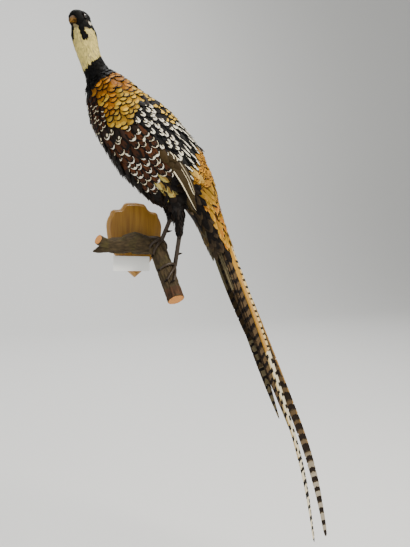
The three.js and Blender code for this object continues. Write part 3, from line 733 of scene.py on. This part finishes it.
# Rows over the trunk: kinds, region, template, row pitch, side pitch, length, width and height of the tips.
TRUNK_FEATHERS = [
    ("mantle", "mantle", "mantle", 8.8, 15.0, 25, 21, 5.8),
    ("yellow", "mantle", "yellow", 9.6, 13.5, 24, 14.5, 5.6),
    ("pied", "back", "pied", 12.6, 16.5, 29, 17.6, 5.8),
    ("splash", "back", "drop", 16.5, 12.0, 42, 12.4, 5.6),
    ("crescent", "flank", "crescent", 14.4, 17.5, 32, 18.5, 5.8),
    ("breast", "breast", "breast", 8.6, 10.5, 20, 12.5, 6.0),
    ("rump", "rump", "rump", 9.5, 10.5, 24, 14, 5.4),
    ("covert", "rump", "long", 11.0, 7.6, 46, 10.5, 5.2),
    ("under pale", "rump", "long", 13.0, 10.5, 46, 15, 5.0),
    ("tuft", "flank", "long", 12.0, 12.0, 40, 14, 7.5),
    ("olive", "flank", "plain", 12.0, 13.0, 34, 18, 6.8),
    ("straw", "rump", "long", 11.0, 10.0, 38, 14, 5.8),
    ("belly", "breast", "plain", 10.0, 11.0, 25, 15, 9.0),
    ("collar", "breast", "plain", 7.0, 8.5, 17, 12, 5.2),
]
TRUNK_END = in_middle(np.array(TRUNK[-2:]))
TRUNK_DOWN = unit(TRUNK_END[1] - TRUNK_END[0])


# A place on the far side of a gap is this many times the expected reach and millimetres out.
MISS_TIMES, MISS_PAST = 1.25, 22


def trunk_rows(pitch, side_pitch):
    """Staggered places over the trunk's skin: hits (metres) and lie directions."""
    x = through(TRUNK)(np.linspace(0.15, 10, 400))
    line = in_middle(x)
    run = run_along(line)
    tangent = unit(np.gradient(line, axis=0))
    hits, lies = [], []
    for r, place in enumerate(np.arange(0, run[-1], pitch)):
        centre, (depth, wide) = read(place, run, line), read(place, run, x[:, 2:])
        t = unit(read(place, run, tangent))
        up = np.cross(t, RIGHT)
        found = []
        for phi in circle(144) - np.pi:
            d = RIGHT * math.cos(phi) + up * math.sin(phi)
            expected = 1 / math.hypot(math.cos(phi) / wide, math.sin(phi) / depth)
            hit = TREE.ray_cast(Vector((centre + d * 200) * MM), Vector(-d))[0]
            missed = hit is None or (np.array(hit) / MM - centre) @ d > expected * MISS_TIMES + MISS_PAST
            found.append(centre + d * expected if missed else np.array(hit) / MM)
        found = np.array(found + found[:1])
        around = run_along(found)
        count = max(int(round(around[-1] / side_pitch)), 3)
        at = (np.arange(count) + (0.5 if r % 2 else 0.0)) * around[-1] / count
        spots = read(at + rng.normal(0, 0.09 * side_pitch, count), around, found)
        hits.append(spots + t * rng.normal(0, 0.1 * pitch, count)[:, None])
        lies.append(np.repeat(t[None], count, 0))
    return np.concatenate(hits) * MM, np.concatenate(lies)


def apart(points, gap):
    """Marks the points that keep the gap from every marked one before them."""
    keep = np.zeros(len(points), bool)
    for i, p in enumerate(points):
        keep[i] = not (norm(points[:i][keep[:i]] - p) < gap).any()
    return keep


# How far out from the skin, at most, its rows may point for the feathers to lie down on it.
LIFT_MOST = 0.4
coats = {}
for kinds, region, form, pitch, side_pitch, length, width, top in TRUNK_FEATHERS:
    late = region == "rump"
    roots, lies = trunk_rows(pitch, side_pitch)
    tips, _ = nearest(roots + lies * (0.6 * length * MM))
    names, a, b = zones(tips)
    facing = (nearest(roots)[1] * lies).sum(1)
    chosen = np.isin(names, kinds.split()) & (leg_share(roots / MM) < COAT_END)
    chosen &= (facing > (-0.3 if late else -0.75)) & (facing < LIFT_MOST)
    chosen[chosen] = apart(tips[chosen], (0.6 if form == "crescent" else 0.7) * pitch * MM)
    roots, lies, n = roots[chosen], lies[chosen], chosen.sum()
    size = rng.normal(1, 0.07, n)
    if late:
        left = (TRUNK_END[1] - roots / MM) @ TRUNK_DOWN
        size = np.minimum(size, np.clip((left + 24) / length, 0.35, 2))
    lies = unit(lies + rng.normal(0, 0.15 if form in ("mantle", "crescent", "pied") else 0.08, (n, 3)))
    lay(coats.setdefault(region, Shell()), BIG[form], roots, lies, names[chosen], np.stack([a, b], 1)[chosen],
        length * MM * size, width * MM * size, np.full(n, top * MM) * rng.normal(1, 0.05, n))
for region, coat in coats.items():
    coat.make("coat_" + region, PLUMAGE, "body_plumage")


# ---- small feathers: neck, head and legs
TRIES = 7  # random places tried for each one that fits


def scattered(mask, spacing):
    """Places spread over the skin faces in mask, no nearer than spacing (metres, one per face)."""
    c = skin_v[skin_quads[mask]]
    gap = spacing[mask]
    share = 0.5 * norm(np.cross(c[:, 2] - c[:, 0], c[:, 3] - c[:, 1])) / gap ** 2
    order = rng.choice(len(c), size=int(share.sum() * TRIES), p=share / share.sum())
    s, t = rng.random((2, len(order), 1))
    c, gap = c[order], gap[order]
    spots = (c[:, 0] * (1 - s) + c[:, 1] * s) * (1 - t) + (c[:, 3] * (1 - s) + c[:, 2] * s) * t
    kept, cells, cell = [], {}, spacing[mask].max()
    for i, (p, reach) in enumerate(zip(spots.tolist(), gap.tolist())):
        x, y, z = (int(value // cell) for value in p)
        around = (cells.get((x + dx, y + dy, z + dz), ()) for dx, dy, dz in product((-1, 0, 1), repeat=3))
        if all(math.dist(p, other) >= reach for found in around for other in found):
            kept.append(i)
            cells.setdefault((x, y, z), []).append(p)
    return spots[kept], gap[kept]


face_run = AXIS_RUN[on_axis(centres / MM)[0]]
face_leg = leg_share(centres / MM)
bill_root = head_point(30, 0, -2) * MM
# Edge of the plumage at the bill, and how far feathers and their roots keep from an eye (millimetres).
BILL_EDGE, TIP_CLEAR, ROOT_CLEAR = 30.5, 5.4, 5.2


def eye_centre(side):
    """An eye's centre in millimetres."""
    return head_point(10, side * 14.4, 5.5)


def small_coat(name, mask, spacing, longer, wider, rise, most, mat, slot):
    """Short feathers; longer and wider are for their spacing, rise and most for the coat's depth."""
    legs = name == "coat_legs"
    spots, gap = scattered(mask, spacing)
    index, _ = on_axis(spots / MM)
    on_head = index < FACE_END
    blend = np.clip((AXIS_RUN[index] - 12) / 30, 0, 1)[:, None]
    lie = AXIS_T[index]
    lie = np.where(on_head[:, None], unit(unit(spots - bill_root) * (1 - blend) + lie * blend), lie)
    if legs:
        lie[leg_share(spots / MM) > LEG_TOP] = unit([0.12, 0.02, -1.0])
    lie = unit(lie + rng.normal(0, 0.09, lie.shape))
    clear = ((spots / MM - HEAD_CENTRE) @ HEAD_ALONG < BILL_EDGE) | ~on_head
    for side, _ in SIDES:
        eye = eye_centre(side) * MM
        clear &= norm(spots + lie * (2.6 * gap)[:, None] - eye) > TIP_CLEAR * MM
        clear &= norm(spots - eye) > ROOT_CLEAR * MM
    spots, gap, lie = spots[clear], gap[clear], lie[clear]
    names, a, b = zones(nearest(spots + lie * (gap * 2.2)[:, None])[0])
    if legs:
        names[:] = "thigh"
    else:
        # Other zones become collar; the glint zone, a painted highlight, keeps its own.
        names[~np.isin(names, ("neck", "throat", "crown", "mask", "streak", "sooty_black_and_glint", "thigh"))] = "collar"
    shell = Shell()
    top = np.minimum(coat_depth(spots / MM), most) * MM * rise
    lay(shell, BIG["strand" if legs else "small"], spots, lie, names, np.stack([a, b], 1), gap * longer,
        gap * wider, top, snap=False, steps=3, base_lift=0.15, turn_limit=0.5)
    shell.make(name, mat, slot)


head_gap = np.interp(face_run, [0, 14, 40, 70, 120, 165], [0.0012, 0.0014, 0.0018, 0.0024, 0.003, 0.004])
leg_gap = np.interp(face_leg, [LEG_TOP, 0.6, 1.0], [0.0062, 0.0046, 0.0026])
above = (face_run < 168) & (face_leg < LEG_TOP)
for name, mask, *sizes in (("coat_head", above & (face_run < 52), 3.3, 1.5, 0.8, 2.6),
                           ("coat_neck", above & (face_run >= 47), 3.6, 1.5, 0.9, 9)):
    small_coat(name, mask, head_gap, *sizes, HEAD_PLUMAGE, "head_plumage")
small_coat("coat_legs", face_leg > 0.36, leg_gap, 2.9, 1.25, 1.5, 9, PLUMAGE, "body_plumage")


# ---- long vanes: wings' ends and tail
# Thickness of a long vane and how far its shaft spreads, millimetres.
VANE_THICK, SHAFT_SPREAD = 0.35, 1.5


def vane(shell, centre, across, out, width, colour_of, shaft, ragged, seed, cells=8):
    """A long feather: centre line, direction across (upper edge to lower), outward side; millimetres."""
    n, sides = len(centre), 2 * cells
    run = run_along(centre)
    local = np.random.default_rng(seed)
    edge = np.ones((n, 2)) - ragged * local.random((n, 2)) * 0.8
    for side in (0, 1):
        for k in np.nonzero(local.random(n) < ragged * 0.5)[0]:
            edge[k, side] -= 0.12 + 0.2 * local.random()
    e = np.linspace(-0.5, 0.5, cells + 1)
    e = np.concatenate([e, e[::-1][1:-1]])
    top = np.arange(sides) <= cells
    lateral = e * width[:, None] * np.where(e < 0, edge[:, :1], edge[:, 1:])
    rib = shaft * (1 - 0.75 * run / run[-1])[:, None] * np.exp(-(e * width[:, None] / SHAFT_SPREAD) ** 2)
    body = VANE_THICK * 0.5 * (1 - (2 * np.abs(e)) ** 4) + rib * np.where(top, 1, 0.8)
    lift = np.where(top, body, -body) - 0.05 * width[:, None] * (2 * e) ** 2
    ring = centre[:, None] + across[:, None] * lateral[..., None] + out * lift[..., None]
    s, w = (np.repeat((x[:-1] + x[1:]) / 2, sides) for x in (run, width))
    middle, outer = np.tile((e + np.roll(e, -1)) / 2, n - 1), np.tile(np.arange(sides) < cells, n - 1)
    colours = colour_of(s, middle, w, outer)
    barbs = np.stack([(e * width[:, None]).ravel(), np.repeat(run, sides)], 1)
    shell.tube(ring.reshape(-1, 3), sides, colours, Barbs=np.concatenate([barbs, barbs[:2]]))


def rounded(width, left, least):
    """Widths drawn in along an arc as left, the way to the tip, falls from 1 to 0."""
    left = np.clip(left, 0, 1)
    return np.maximum(width * np.sqrt(left * (2 - left)), least)


def tail_heading(s):
    """The folded tail's direction at a distance from its root."""
    angle = math.radians(TAIL_SLOPE + TAIL_DROOP * float(smoothstep(s, 450, 920)))
    return np.array([math.cos(angle), 0, -math.sin(angle)])


def tail_line(distances):
    """Ridge points and downward directions of the folded tail at distances from its root."""
    place = np.array([TAIL_START[0], 0, TAIL_START[1]], float)
    s, ridge, down = 0.0, [], []
    for target in distances:
        while s < target - 1e-9:
            h = min(5.0, target - s)
            place = place + h * tail_heading(s)
            s += h
        ridge.append([place[0], BIRD_Y + TAIL_DRIFT * target / TAIL_LENGTH, place[2]])
        down.append(np.cross(RIGHT, tail_heading(max(s - 2.5, 0))))
    return np.array(ridge), np.array(down)


def marked(marks, n, ground):
    """Face colours: the ground, then each mark's mask, colour and shade."""
    col = np.repeat(C[ground][None], n, 0)
    for mask, name, by in marks:
        col[mask] = np.clip(C[name] * by, 0, 1)
    return col


# Distance along the central pair where its bars widen, and the bars' pitch before and after it.
BARS_WIDEN, NARROW_PITCH, WIDE_PITCH, SIDE_PITCH = 330, 17.5, 35.0, 27.0


def tail_colours(pair, side, length):
    """Markings of a tail feather, partly darkened with painted shade, by distance s, place across e, width w
    and face.
    """
    def colour(s, e, w, outer):
        n, slant = len(s), s - np.abs(e) * w * 0.45  # bars slant back towards the edges
        late, far = s >= BARS_WIDEN, s > length * 0.74
        turn = slant / SIDE_PITCH + pair * 0.04 + (0.1 if side > 0 else 0)
        if pair == 0:
            turn = np.where(late, BARS_WIDEN / NARROW_PITCH + (slant - BARS_WIDEN) / WIDE_PITCH,
                            slant / NARROW_PITCH)
        wave = 0.1 * np.sin(s * 0.031 + pair * 1.7 + side) + 0.05 * np.sin(s * 0.11 + pair)
        phase = (turn + wave) % 1.0
        bar, rusty = phase < 0.36, (phase >= 0.34) & (phase < 0.46)
        if pair == 0 and side < 0:
            mark = bar & (e < np.where(s < 60, -0.34, -0.02)) & ~late | bar & late & (e > 0.12) | bar & far
            mark |= ((phase + 0.45) % 1 < 0.34) & late & (e < -0.06)
            mid = marked([
                (e < -0.05, "sand", 1.0), (e > 0.24, "amber", 0.9), ((s < 120) & (e > -0.3), "amber", 1.0),
                (late & (e < 0.3), "lily", 0.95), (late & (e >= 0.3), "sand", 0.9), (far, "lily", 1.0),
                (mark, "bar", 1.0),
            ], n, "buff")
            # The underside is brown and barred: partly its own barring, partly painted shade of a shaded
            # underside.
            under = [(rusty, "dusk", 1.2), (bar, "bar", 1.0), (far & ~bar, "throat", 0.95)]
            return np.where(outer[:, None], mid, marked(under, n, "brown"))
        # The right central feather is brown with darker bars, greying to its tip: partly its own barring,
        # partly painted shade of its shadowed underside.
        if pair == 0:
            pale = np.round(smoothstep(s, length * 0.62, length * 0.86) * 5)[:, None] / 5
            mid = C["brown"] * (1.1 * (1 - pale)) + C["grey"] * pale
            mid[(e < -0.36) & (pale[:, 0] < 0.5)] = C["buff"] * 0.9
            wide = np.where(far, 0.42, 0.56)
            mid[(phase < wide) & ((e > -0.3) | (s > 450))] = C["umber"] * 1.1
            mid[(phase >= wide) & (phase < wide + 0.1)] = C["brown"] * 0.8
            return mid
        # The shorter pairs are brown or olive and 0.9 as bright underneath: partly their own colour, partly
        # painted shade of shaded undersides.
        mid = marked([
            (e > 0.4, "dusk", 1.2), (rusty, "dusk", 1.1), (bar, "bar", 1.0),
            ((e > 0.3) & (pair > 2) & (s < 130), "ash", 0.8), ((s > length - 46) & ~bar, "ash", 0.95),
        ], n, "olive" if pair == 4 else "brown")
        return np.where(outer[:, None], mid, mid * 0.9)

    return colour


def flight_colours(k):
    """Markings of a flight feather: two of them have pale lines."""
    def colour(s, e, w, outer):
        start = 26 if k == 4 else 10
        edge = (k in (4, 7)) & (e > 0.34) & (s > start) & (s < 148)
        line = (k == 7) & (abs(e + 0.05) < 0.04) & (s > 10) & (s < 140)
        mid = marked([(e > 0.1, "moss", 0.4), (abs(e) < 0.05, "olive", 0.6), (edge, "lily", 1),
                      (line, "lily", 0.8)], len(s), "olive")
        return np.where(outer[:, None], mid, mid * 0.9)

    return colour


lean = unit(np.array([1.0, TAIL_ROOF]))
for side, name in SIDES:
    shell = Shell()
    for k, shape in enumerate(TAIL_PAIRS):
        length = shape["length"][side > 0]
        use = TAIL_RIGHT_CENTRAL if k == 0 and side > 0 else shape
        s = np.linspace(-34 if k < 4 else -30, length, int(length / 2.6))
        ridge, down = tail_line(np.maximum(s, 0))
        ridge = ridge + tail_heading(0) * np.minimum(s, 0)[:, None]
        depth, width = through(np.stack([use["depth"], use["width"]], 1))(np.clip(s / length, 0, 1) * 4).T
        if k == 0:
            width = np.maximum(width, 10.5)
        width = rounded(width, (length - s) / (22 if k else 30), 0.8) * np.interp(s, [-34, 0], [0.5, 1])
        centre = (ridge + down * depth[:, None]
                  + RIGHT * side * (2 + TAIL_ROOF * depth - k * TAIL_LAYER)[:, None])
        out = RIGHT * side * lean[0] - down * lean[1]
        vane(shell, centre, down + RIGHT * side * TAIL_ROOF, out[:, None], width,
             tail_colours(k, side, length), shaft=1.1 if k else 1.5, ragged=0.07, seed=10 * k + side + 5)
    nodes = [f"tail_feather_{k + 1}_{name}" for k in range(5)]
    shell.make("tail_vanes_" + name, TAIL_PLUMAGE, "tail_plumage", nodes)

for side, name in SIDES:
    shell = Shell()
    at = through(FLIGHT)
    for k in range(8):
        place = -0.8 + 1.6 * k / 7
        stations = np.linspace(0.7, 5 - 0.28 * abs(k - 2) - (0.5 if k > 5 else 0), 62)
        x = at(stations)
        ahead = at(np.minimum(stations + 0.05, 5)) - at(np.maximum(stations - 0.05, 0))
        along = unit(np.stack([ahead[:, 0], 0 * ahead[:, 0], ahead[:, 1]], 1))
        up = np.cross(along, RIGHT)
        centre = in_middle(x) + up * (FLIGHT_RAISE[side] + place * x[:, 3])[:, None]
        sunk = 9 * (1 - smoothstep(stations, 0.9, 2.2)) + (20 - 2 * k if k < 4 else 0) * (
            1 - smoothstep(stations, 3.9, 4.9))
        centre += RIGHT * side * (x[:, 2] - 2.2 + 0.62 * k - sunk)[:, None]
        width = rounded(x[:, 3] * 0.62, (stations[-1] - stations) / 0.7, 1.0)
        vane(shell, centre, -up + RIGHT * side * 0.05, RIGHT * side, width, flight_colours(k), shaft=0.8,
             ragged=0.03, seed=40 + k + 9 * side, cells=10)
    shell.make("flight_vanes_" + name, PLUMAGE, "body_plumage", [f"flight_feathers_{name}"])

# ---- eyes, lids and bill
# Glass colours outwards from the pupil, and the angles (degrees) between them.
GLASS_TONES = np.array([(0.01, 0.008, 0.008), (0.15, 0.075, 0.035), (0.13, 0.06, 0.03), (0.03, 0.02, 0.02)])
GLASS_EDGES = [23, 40, 47]
# How far the eyes look forwards and upwards.
EYE_FORWARD, EYE_RAISED = 0.16, 0.02
# Section of a lid: radius, height over the eye's centre and how tall the ring is for its width.
LID_SECTION = [(4.0, 3.6, 0.88), (4.25, 3.95, 0.88), (4.75, 4.05, 0.88), (5.25, 3.6, 0.9), (5.8, 2.0, 0.95),
               (6.3, 0.2, 1), (6.5, -2.6, 1), (5.9, -2.6, 1), (5.75, 0.2, 1), (5.2, 2.4, 0.95)]
for side, name in SIDES:
    axis = unit(HEAD_SIDE * side + HEAD_ALONG * EYE_FORWARD + HEAD_UP * EYE_RAISED)
    u = unit(np.cross(axis, HEAD_UP))
    v = np.cross(u, axis)
    centre, turn = eye_centre(side), circle(40)[:, None]
    angles = np.radians(np.concatenate([np.linspace(0.5, 60, 22), np.linspace(66, 179.5, 16)]))
    mids = np.degrees((angles[:-1] + angles[1:]) / 2)
    angles = angles[:, None, None]
    ball = np.cos(angles) * axis + np.sin(angles) * (np.cos(turn) * u + np.sin(turn) * v)
    eye = Shell()
    eye.tube((centre + EYE_RADIUS * ball).reshape(-1, 3), 40,
             GLASS_TONES[np.searchsorted(GLASS_EDGES, mids, "right")], ends=0.01)
    eye.make("eyeball_" + name, GLASS, "glass_eye", [f"eye_{name}"])
    turn = np.linspace(0, 2 * np.pi, 49)[:, None, None]
    radius, height, tall = np.array(LID_SECTION).T[..., None]
    ring = centre + axis * height + radius * (np.cos(turn) * u + np.sin(turn) * tall * v)
    lid, faces = Shell(), tube_faces(49, 10)
    lid.add(ring.reshape(-1, 3) * MM, [faces], np.repeat([[0.07, 0.05, 0.042]], len(faces), 0))
    lid.make("eyelid_" + name, LID, "head_plumage")

BILL_ROOT, BILL_TIP = np.array([0.17, 0.105, 0.03]), np.array([0.40, 0.28, 0.085])
for rows, name, crest in ((BILL_UPPER, "bill_upper", 0.5), (BILL_LOWER, "bill_lower", 0.0)):
    s, wide, above, below, drop = through(rows)(np.linspace(0, len(rows) - 1, 27)).T[..., None, None]
    turn = circle(28)[:, None]
    level, rise = np.cos(turn), np.sin(turn)
    across = wide * level * (1 - crest * np.clip(rise, 0, 1) ** 2 * np.abs(level))
    points = head_point(s, 0, -drop) + HEAD_SIDE * across + HEAD_UP * np.where(rise > 0, above, below) * rise
    share = np.repeat(np.linspace(0, 1, 26), 28)
    around = np.tile(circle(28) + np.pi / 28, 26)
    blotch = [wobble(6 * s, 1.4 * math.cos(t), 1.4 * math.sin(t) + 5) for s, t in zip(share, around)]
    mix = np.round(np.clip(share + 0.9 * np.array(blotch), 0, 1) * 8)[:, None] / 8
    bill = Shell()
    bill.tube(points.reshape(-1, 3), 28, BILL_ROOT * (1 - mix) + BILL_TIP * mix, ends=(BILL_ROOT, BILL_TIP))
    bill.make("horn_" + name, HORN, "horn", [name])
nostrils = Shell()
for side, _ in SIDES:
    a, b = head_point(31.5, side * 5.9, 2.2), head_point(35.6, side * 5.3, 0.9)
    middle = (a + b) / 2 + HEAD_SIDE * side * 0.35
    nostrils.tube(sweep([a, middle, b], [0.3, 0.7, 0.25], 10, 10), 10, [0.06] * 3)
nostrils.make("nostrils", HORN, "horn")

# ---- feet
perch_along = unit(STUB_END - STUB_START)
perch_top = square(np.array([0, 0, 1.0]), perch_along)
perch_left = np.cross(perch_along, perch_top)
LEG_TONE = np.array([0.185, 0.135, 0.08])


def perch_point(along, turn, height):
    """A place over the perch: share of its length, degrees round it, height over its bark."""
    r, turn = STUB_RADIUS + height, math.radians(turn)
    return (STUB_START + (STUB_END - STUB_START) * along
            + perch_top * r * math.cos(turn) + perch_left * r * math.sin(turn))


def scales(count):
    """Ring colours of a scaled leg or toe."""
    return (0.85 + 0.3 * (np.arange(count) % 2))[:, None] * LEG_TONE


for name, foot in FEET.items():
    shell, claws = Shell(), Shell()
    ball = perch_point(foot["along"], foot["round"], 5.0)
    ankle = np.array(foot["ankle"], float)
    ankle = ankle + (ankle - ball) * 0.05
    shank = [ankle + (ball - ankle) * share for share in (0, 0.15, 0.5, 1.03)]
    shell.tube(sweep(shank, [5.8, 5.0, 4.9, 5.0], 16, 60, ridges=0.07, pitch=3.4), 16, scales(60), LEG_TONE)
    joint = [ball - perch_along * 4, ball, ball + perch_along * 4]
    shell.tube(sweep(joint, [2.5, 5.4, 2.5], 16, 12), 16, LEG_TONE * 0.95)
    for i, (turn, spread) in enumerate(foot["toes"]):
        radius, k = 4.1 * (1 - 0.06 * i), np.linspace(0, 1, 5)
        radii = radius * (1 - 0.3 * k) * [1, 1.07, 1, 1.07, 1]
        line = [perch_point(foot["along"] + spread * j, foot["round"] + turn * j,
                            radius * 0.62 + (0 if j else 1.5)) for j in k]
        shell.tube(sweep(line, radii, 12, 44, ridges=0.09, pitch=2.6), 12, scales(44), LEG_TONE)
        hook = math.copysign(1, turn)
        claw = [perch_point(foot["along"] + spread * (1 + 0.05 * s), foot["round"] + turn + hook * d, h)
                for s, d, h in ((0.5, 9, 3.4), (1, 19, 2.8), (1.3, 29, 0.6))]
        radii = [*(radii[-1] * np.array([0.8, 0.72, 0.42])), 0.15]
        claws.tube(sweep([line[-1], *claw], radii, 12, 18), 12, [0.10, 0.08, 0.07])
    root = ankle + (ball - ankle) * 0.62
    tip = root + [17, foot["spur"] * 5, 2.0]
    spur = [root, (root + tip) / 2 + [0, 0, -0.6], tip]
    claws.tube(sweep(spur, [4, 2.8, 0.4], 12, 14), 12, [0.14, 0.11, 0.08])
    shell.make("scaled_foot_" + name, LEG, "scaled_leg", [f"foot_{name}"])
    claws.make("claws_" + name, HORN, "scaled_leg")

# ---- branch
# Share of the way along the wood that the ridges leave out, so that they run along it; their size, the
# depth that counts as a sawn end, the rusty part's length and the back of the arm (millimetres).
BARK_STRETCH, BARK_SIZE, CUT_DEPTH, RUST_LENGTH, ARM_BACK = 0.72, 7.0, 1.6, 26.8, -19.2
wood, wood_v, quads = remeshed(["branch"], 0.0016, 3)
mm = wood_v / MM


def beside(points, start, axis):
    """Distances along an axis from its start, and distances from the axis."""
    d = points - start
    along = d @ axis
    return along, norm(d - along[:, None] * axis)


stub_length = norm(STUB_END - STUB_START)
stub_run, stub_away = beside(mm, STUB_END, perch_along)
side_run, side_away = beside(mm, SIDE_STUB_END, unit(SIDE_STUB_END - SIDE_STUB_START))
on_stub = (stub_away < STUB_RADIUS * 1.12) & (stub_run > 4 - stub_length)
sawn_stub = on_stub & (stub_run > -CUT_DEPTH)
sawn_side = (side_run > -CUT_DEPTH) & (side_away < 15)
still = sawn_stub | sawn_side | (mm[:, 1] > ARM_BACK)
axes = np.where(on_stub[:, None], perch_along, [1.0, 0, 0])
bark_at = (mm - axes * (mm * axes).sum(1)[:, None] * BARK_STRETCH) / BARK_SIZE
rough = np.array([abs(wobble(*q)) * 1.6 + 0.5 * wobble(*(q * 2.7)) + 0.22 * wobble(*(q * 6))
                  for q in bark_at])
depth = np.where(still, 0.0, np.clip(1.5 - 2.2 * rough, 0, 2.8))
depth = np.where(on_stub, depth * np.clip(-stub_run / 4, 0, 1), depth)
wood_v = wood_v - vectors(wood, "normal") * (depth * MM)[:, None]
# Painted shade: the bark is darker in its furrows, where the noise is low and the bark sinks deepest, and
# lighter on its ridges; lit holds the bark's own grey, moss or rust.
light = np.clip(0.30 + 0.38 * rough[quads].mean(1), 0.08, 0.66)
light = np.round(light * 10)[:, None] / 10
damp = np.array([wobble(*p) for p in mm[quads].mean(1) / 23.0])
rusty = (on_stub[quads].mean(1) > 0.5) & (stub_run[quads].mean(1) > -RUST_LENGTH) & (damp > -0.2)
grey, dark, moss, rust = np.array([(94, 78, 48), (34, 26, 17), (92, 82, 42), (102, 66, 40)]) / 255
lit = np.where(rusty[:, None], rust, np.where(damp[:, None] > 0.15, moss, grey))
colours = dark * (1 - light) + lit * light
for sawn, away, rim in ((sawn_stub, stub_away, STUB_RADIUS - 2.4), (sawn_side, side_away, 11.2)):
    cut = sawn[quads].mean(1) > 0.7
    r = (away[quads].mean(1)[cut] + 0.5 * damp[cut])[:, None]
    tone = np.array([0.86, 0.58, 0.31]) * (1 - 0.16 * np.round(0.5 + 0.5 * np.sin(r * 2.6)))
    colours[cut] = np.where(r > rim, dark * 1.3, tone)
branch = Shell()
branch.add(wood_v, [quads], colours)
branch.make("bark_branch", BARK, "bark", ["branch"])

# ---- shield and card
# Half outline of the shield from (0, 92): bend and end of each quadratic curve, millimetres.
SHIELD_HALF = [((11, 91), (22, 90)), ((27, 88), (30, 82)), ((36, 70), (50, 71)), ((61, 71), (62, 58)),
               ((73, 42), (70, 22)), ((68, -16), (50, -42)), ((40, -58), (34, -66)), ((20, -80), (0, -97))]
# Steps of the shield's edge: place and inset.
SHIELD_STEPS = [(0, 0.4), (-0.6, 0), (-8, 0), (-9, 0.7), (-10.2, 1.0), (-11.6, 1.2), (-13, 1.8), (-14.2, 3.0),
                (-15, 5.0), (-15.6, 6.0), (-16.8, 6.4), (-17.8, 7.0), (-18, 7.8), (-18, 30), (-18, 60)]


def shield_outline(count):
    """The half outline in even steps and its mirror image, as one loop."""
    points, t = np.array([[0.0, 92.0]]), np.linspace(0, 1, 25)[1:, None]
    for bend, end in np.array(SHIELD_HALF, float):
        curve = (1 - t) ** 2 * points[-1] + 2 * t * (1 - t) * bend + t * t * end
        points = np.concatenate([points, curve])
    run = run_along(points)
    half = read(np.linspace(0, run[-1], count), run, points)
    return np.concatenate([half, half[1:-1][::-1] * [-1, 1]])


outline = shield_outline(90)
rows = [np.insert(outline * (1 - inset / 80), 1, y, axis=1) for y, inset in SHIELD_STEPS]
shield = Shell()
shield.tube(np.concatenate(rows), len(outline), [0.5] * 3)
WOOD = material("varnished_wood", 0.42, paint=False, coat=0.18)
place = node(WOOD, "TexCoord", {})["Object"]
place = node(WOOD, "Mapping", {"Vector": place, "Scale": (1.0, 1.0, 0.06)})["Vector"]
grain = node(WOOD, "TexNoise", {"Vector": place, "Scale": 190.0, "Detail": 5.0, "Distortion": 0.4})["Fac"]
tones = node(WOOD, "ValToRGB", {"Fac": grain})["Color"]
connect(WOOD, WOOD.node_tree.nodes["Principled BSDF"], {"Base Color": tones})
stops = tones.node.color_ramp.elements
for stop, place, tone in zip(stops, (0.32, 0.66), ((0.25, 0.112, 0.012, 1), (0.38, 0.188, 0.022, 1))):
    stop.position = place
    stop.color = tone
shield.make("shield_board", WOOD, "varnished_shield", ["wall_shield"])
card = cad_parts["label_card"]
card.data.materials.clear()
card.data.materials.append(CARD)

# ---- camera, light and floor
scene = bpy.context.scene
camera = bpy.data.cameras.new("camera")
camera.sensor_width = 36
camera.lens = 27.05
camera_ob = in_scene("camera", camera)
camera_ob.location = CAM_PLACE
camera_ob.rotation_euler = (math.radians(90), 0, -CAM_YAW)
scene.camera = camera_ob

world = bpy.data.worlds.new("studio")
world.use_nodes = True
connect(world, world.node_tree.nodes["Background"], {"Color": (0.86, 0.86, 0.85, 1), "Strength": 0.6})
scene.world = world


def lamp(name, place, aim, size, power, colour):
    """A square lamp; metres and watts."""
    light = bpy.data.lights.new(name, "AREA")
    light.shape, light.size, light.energy, light.color = "SQUARE", size, power, colour
    ob = in_scene(name, light)
    ob.location = place
    ob.rotation_euler = (Vector(aim) - Vector(place)).to_track_quat("-Z", "Y").to_euler()


lamp("key", (1.1, -1.6, 1.7), (0.05, -0.1, 0.1), 0.8, 88, (1.0, 0.95, 0.86))
lamp("fill", (-1.6, -1.3, 0.3), (0.0, -0.1, -0.1), 1.4, 16, (0.94, 0.96, 1.0))
lamp("backdrop", (0.0, 1.5, 7.0), (0.0, 8.0, 0.5), 4.0, 700, (1.0, 1.0, 1.0))

# A floor that sweeps up far behind: its profile (y and z, metres), drawn out from side to side.
turns = np.radians(np.linspace(0, 90, 13))
profile = [(-9.0, -1.05)] + [(6 + 4 * math.sin(t), 2.95 - 4 * math.cos(t)) for t in turns] + [(10.0, 12.0)]
floor_v = [(x, y, z) for y, z in profile for x in (-16.0, 16.0)]
floor_f = [(2 * i, 2 * i + 1, 2 * i + 3, 2 * i + 2) for i in range(len(profile) - 1)]
floor_me = bpy.data.meshes.new("floor")
floor_me.from_pydata(floor_v, [], floor_f)
for poly in floor_me.polygons:
    poly.use_smooth = True
floor = in_scene("floor", floor_me)
floor_me.materials.append(material("floor", 0.9, paint=False, colour=(0.90, 0.90, 0.89)))
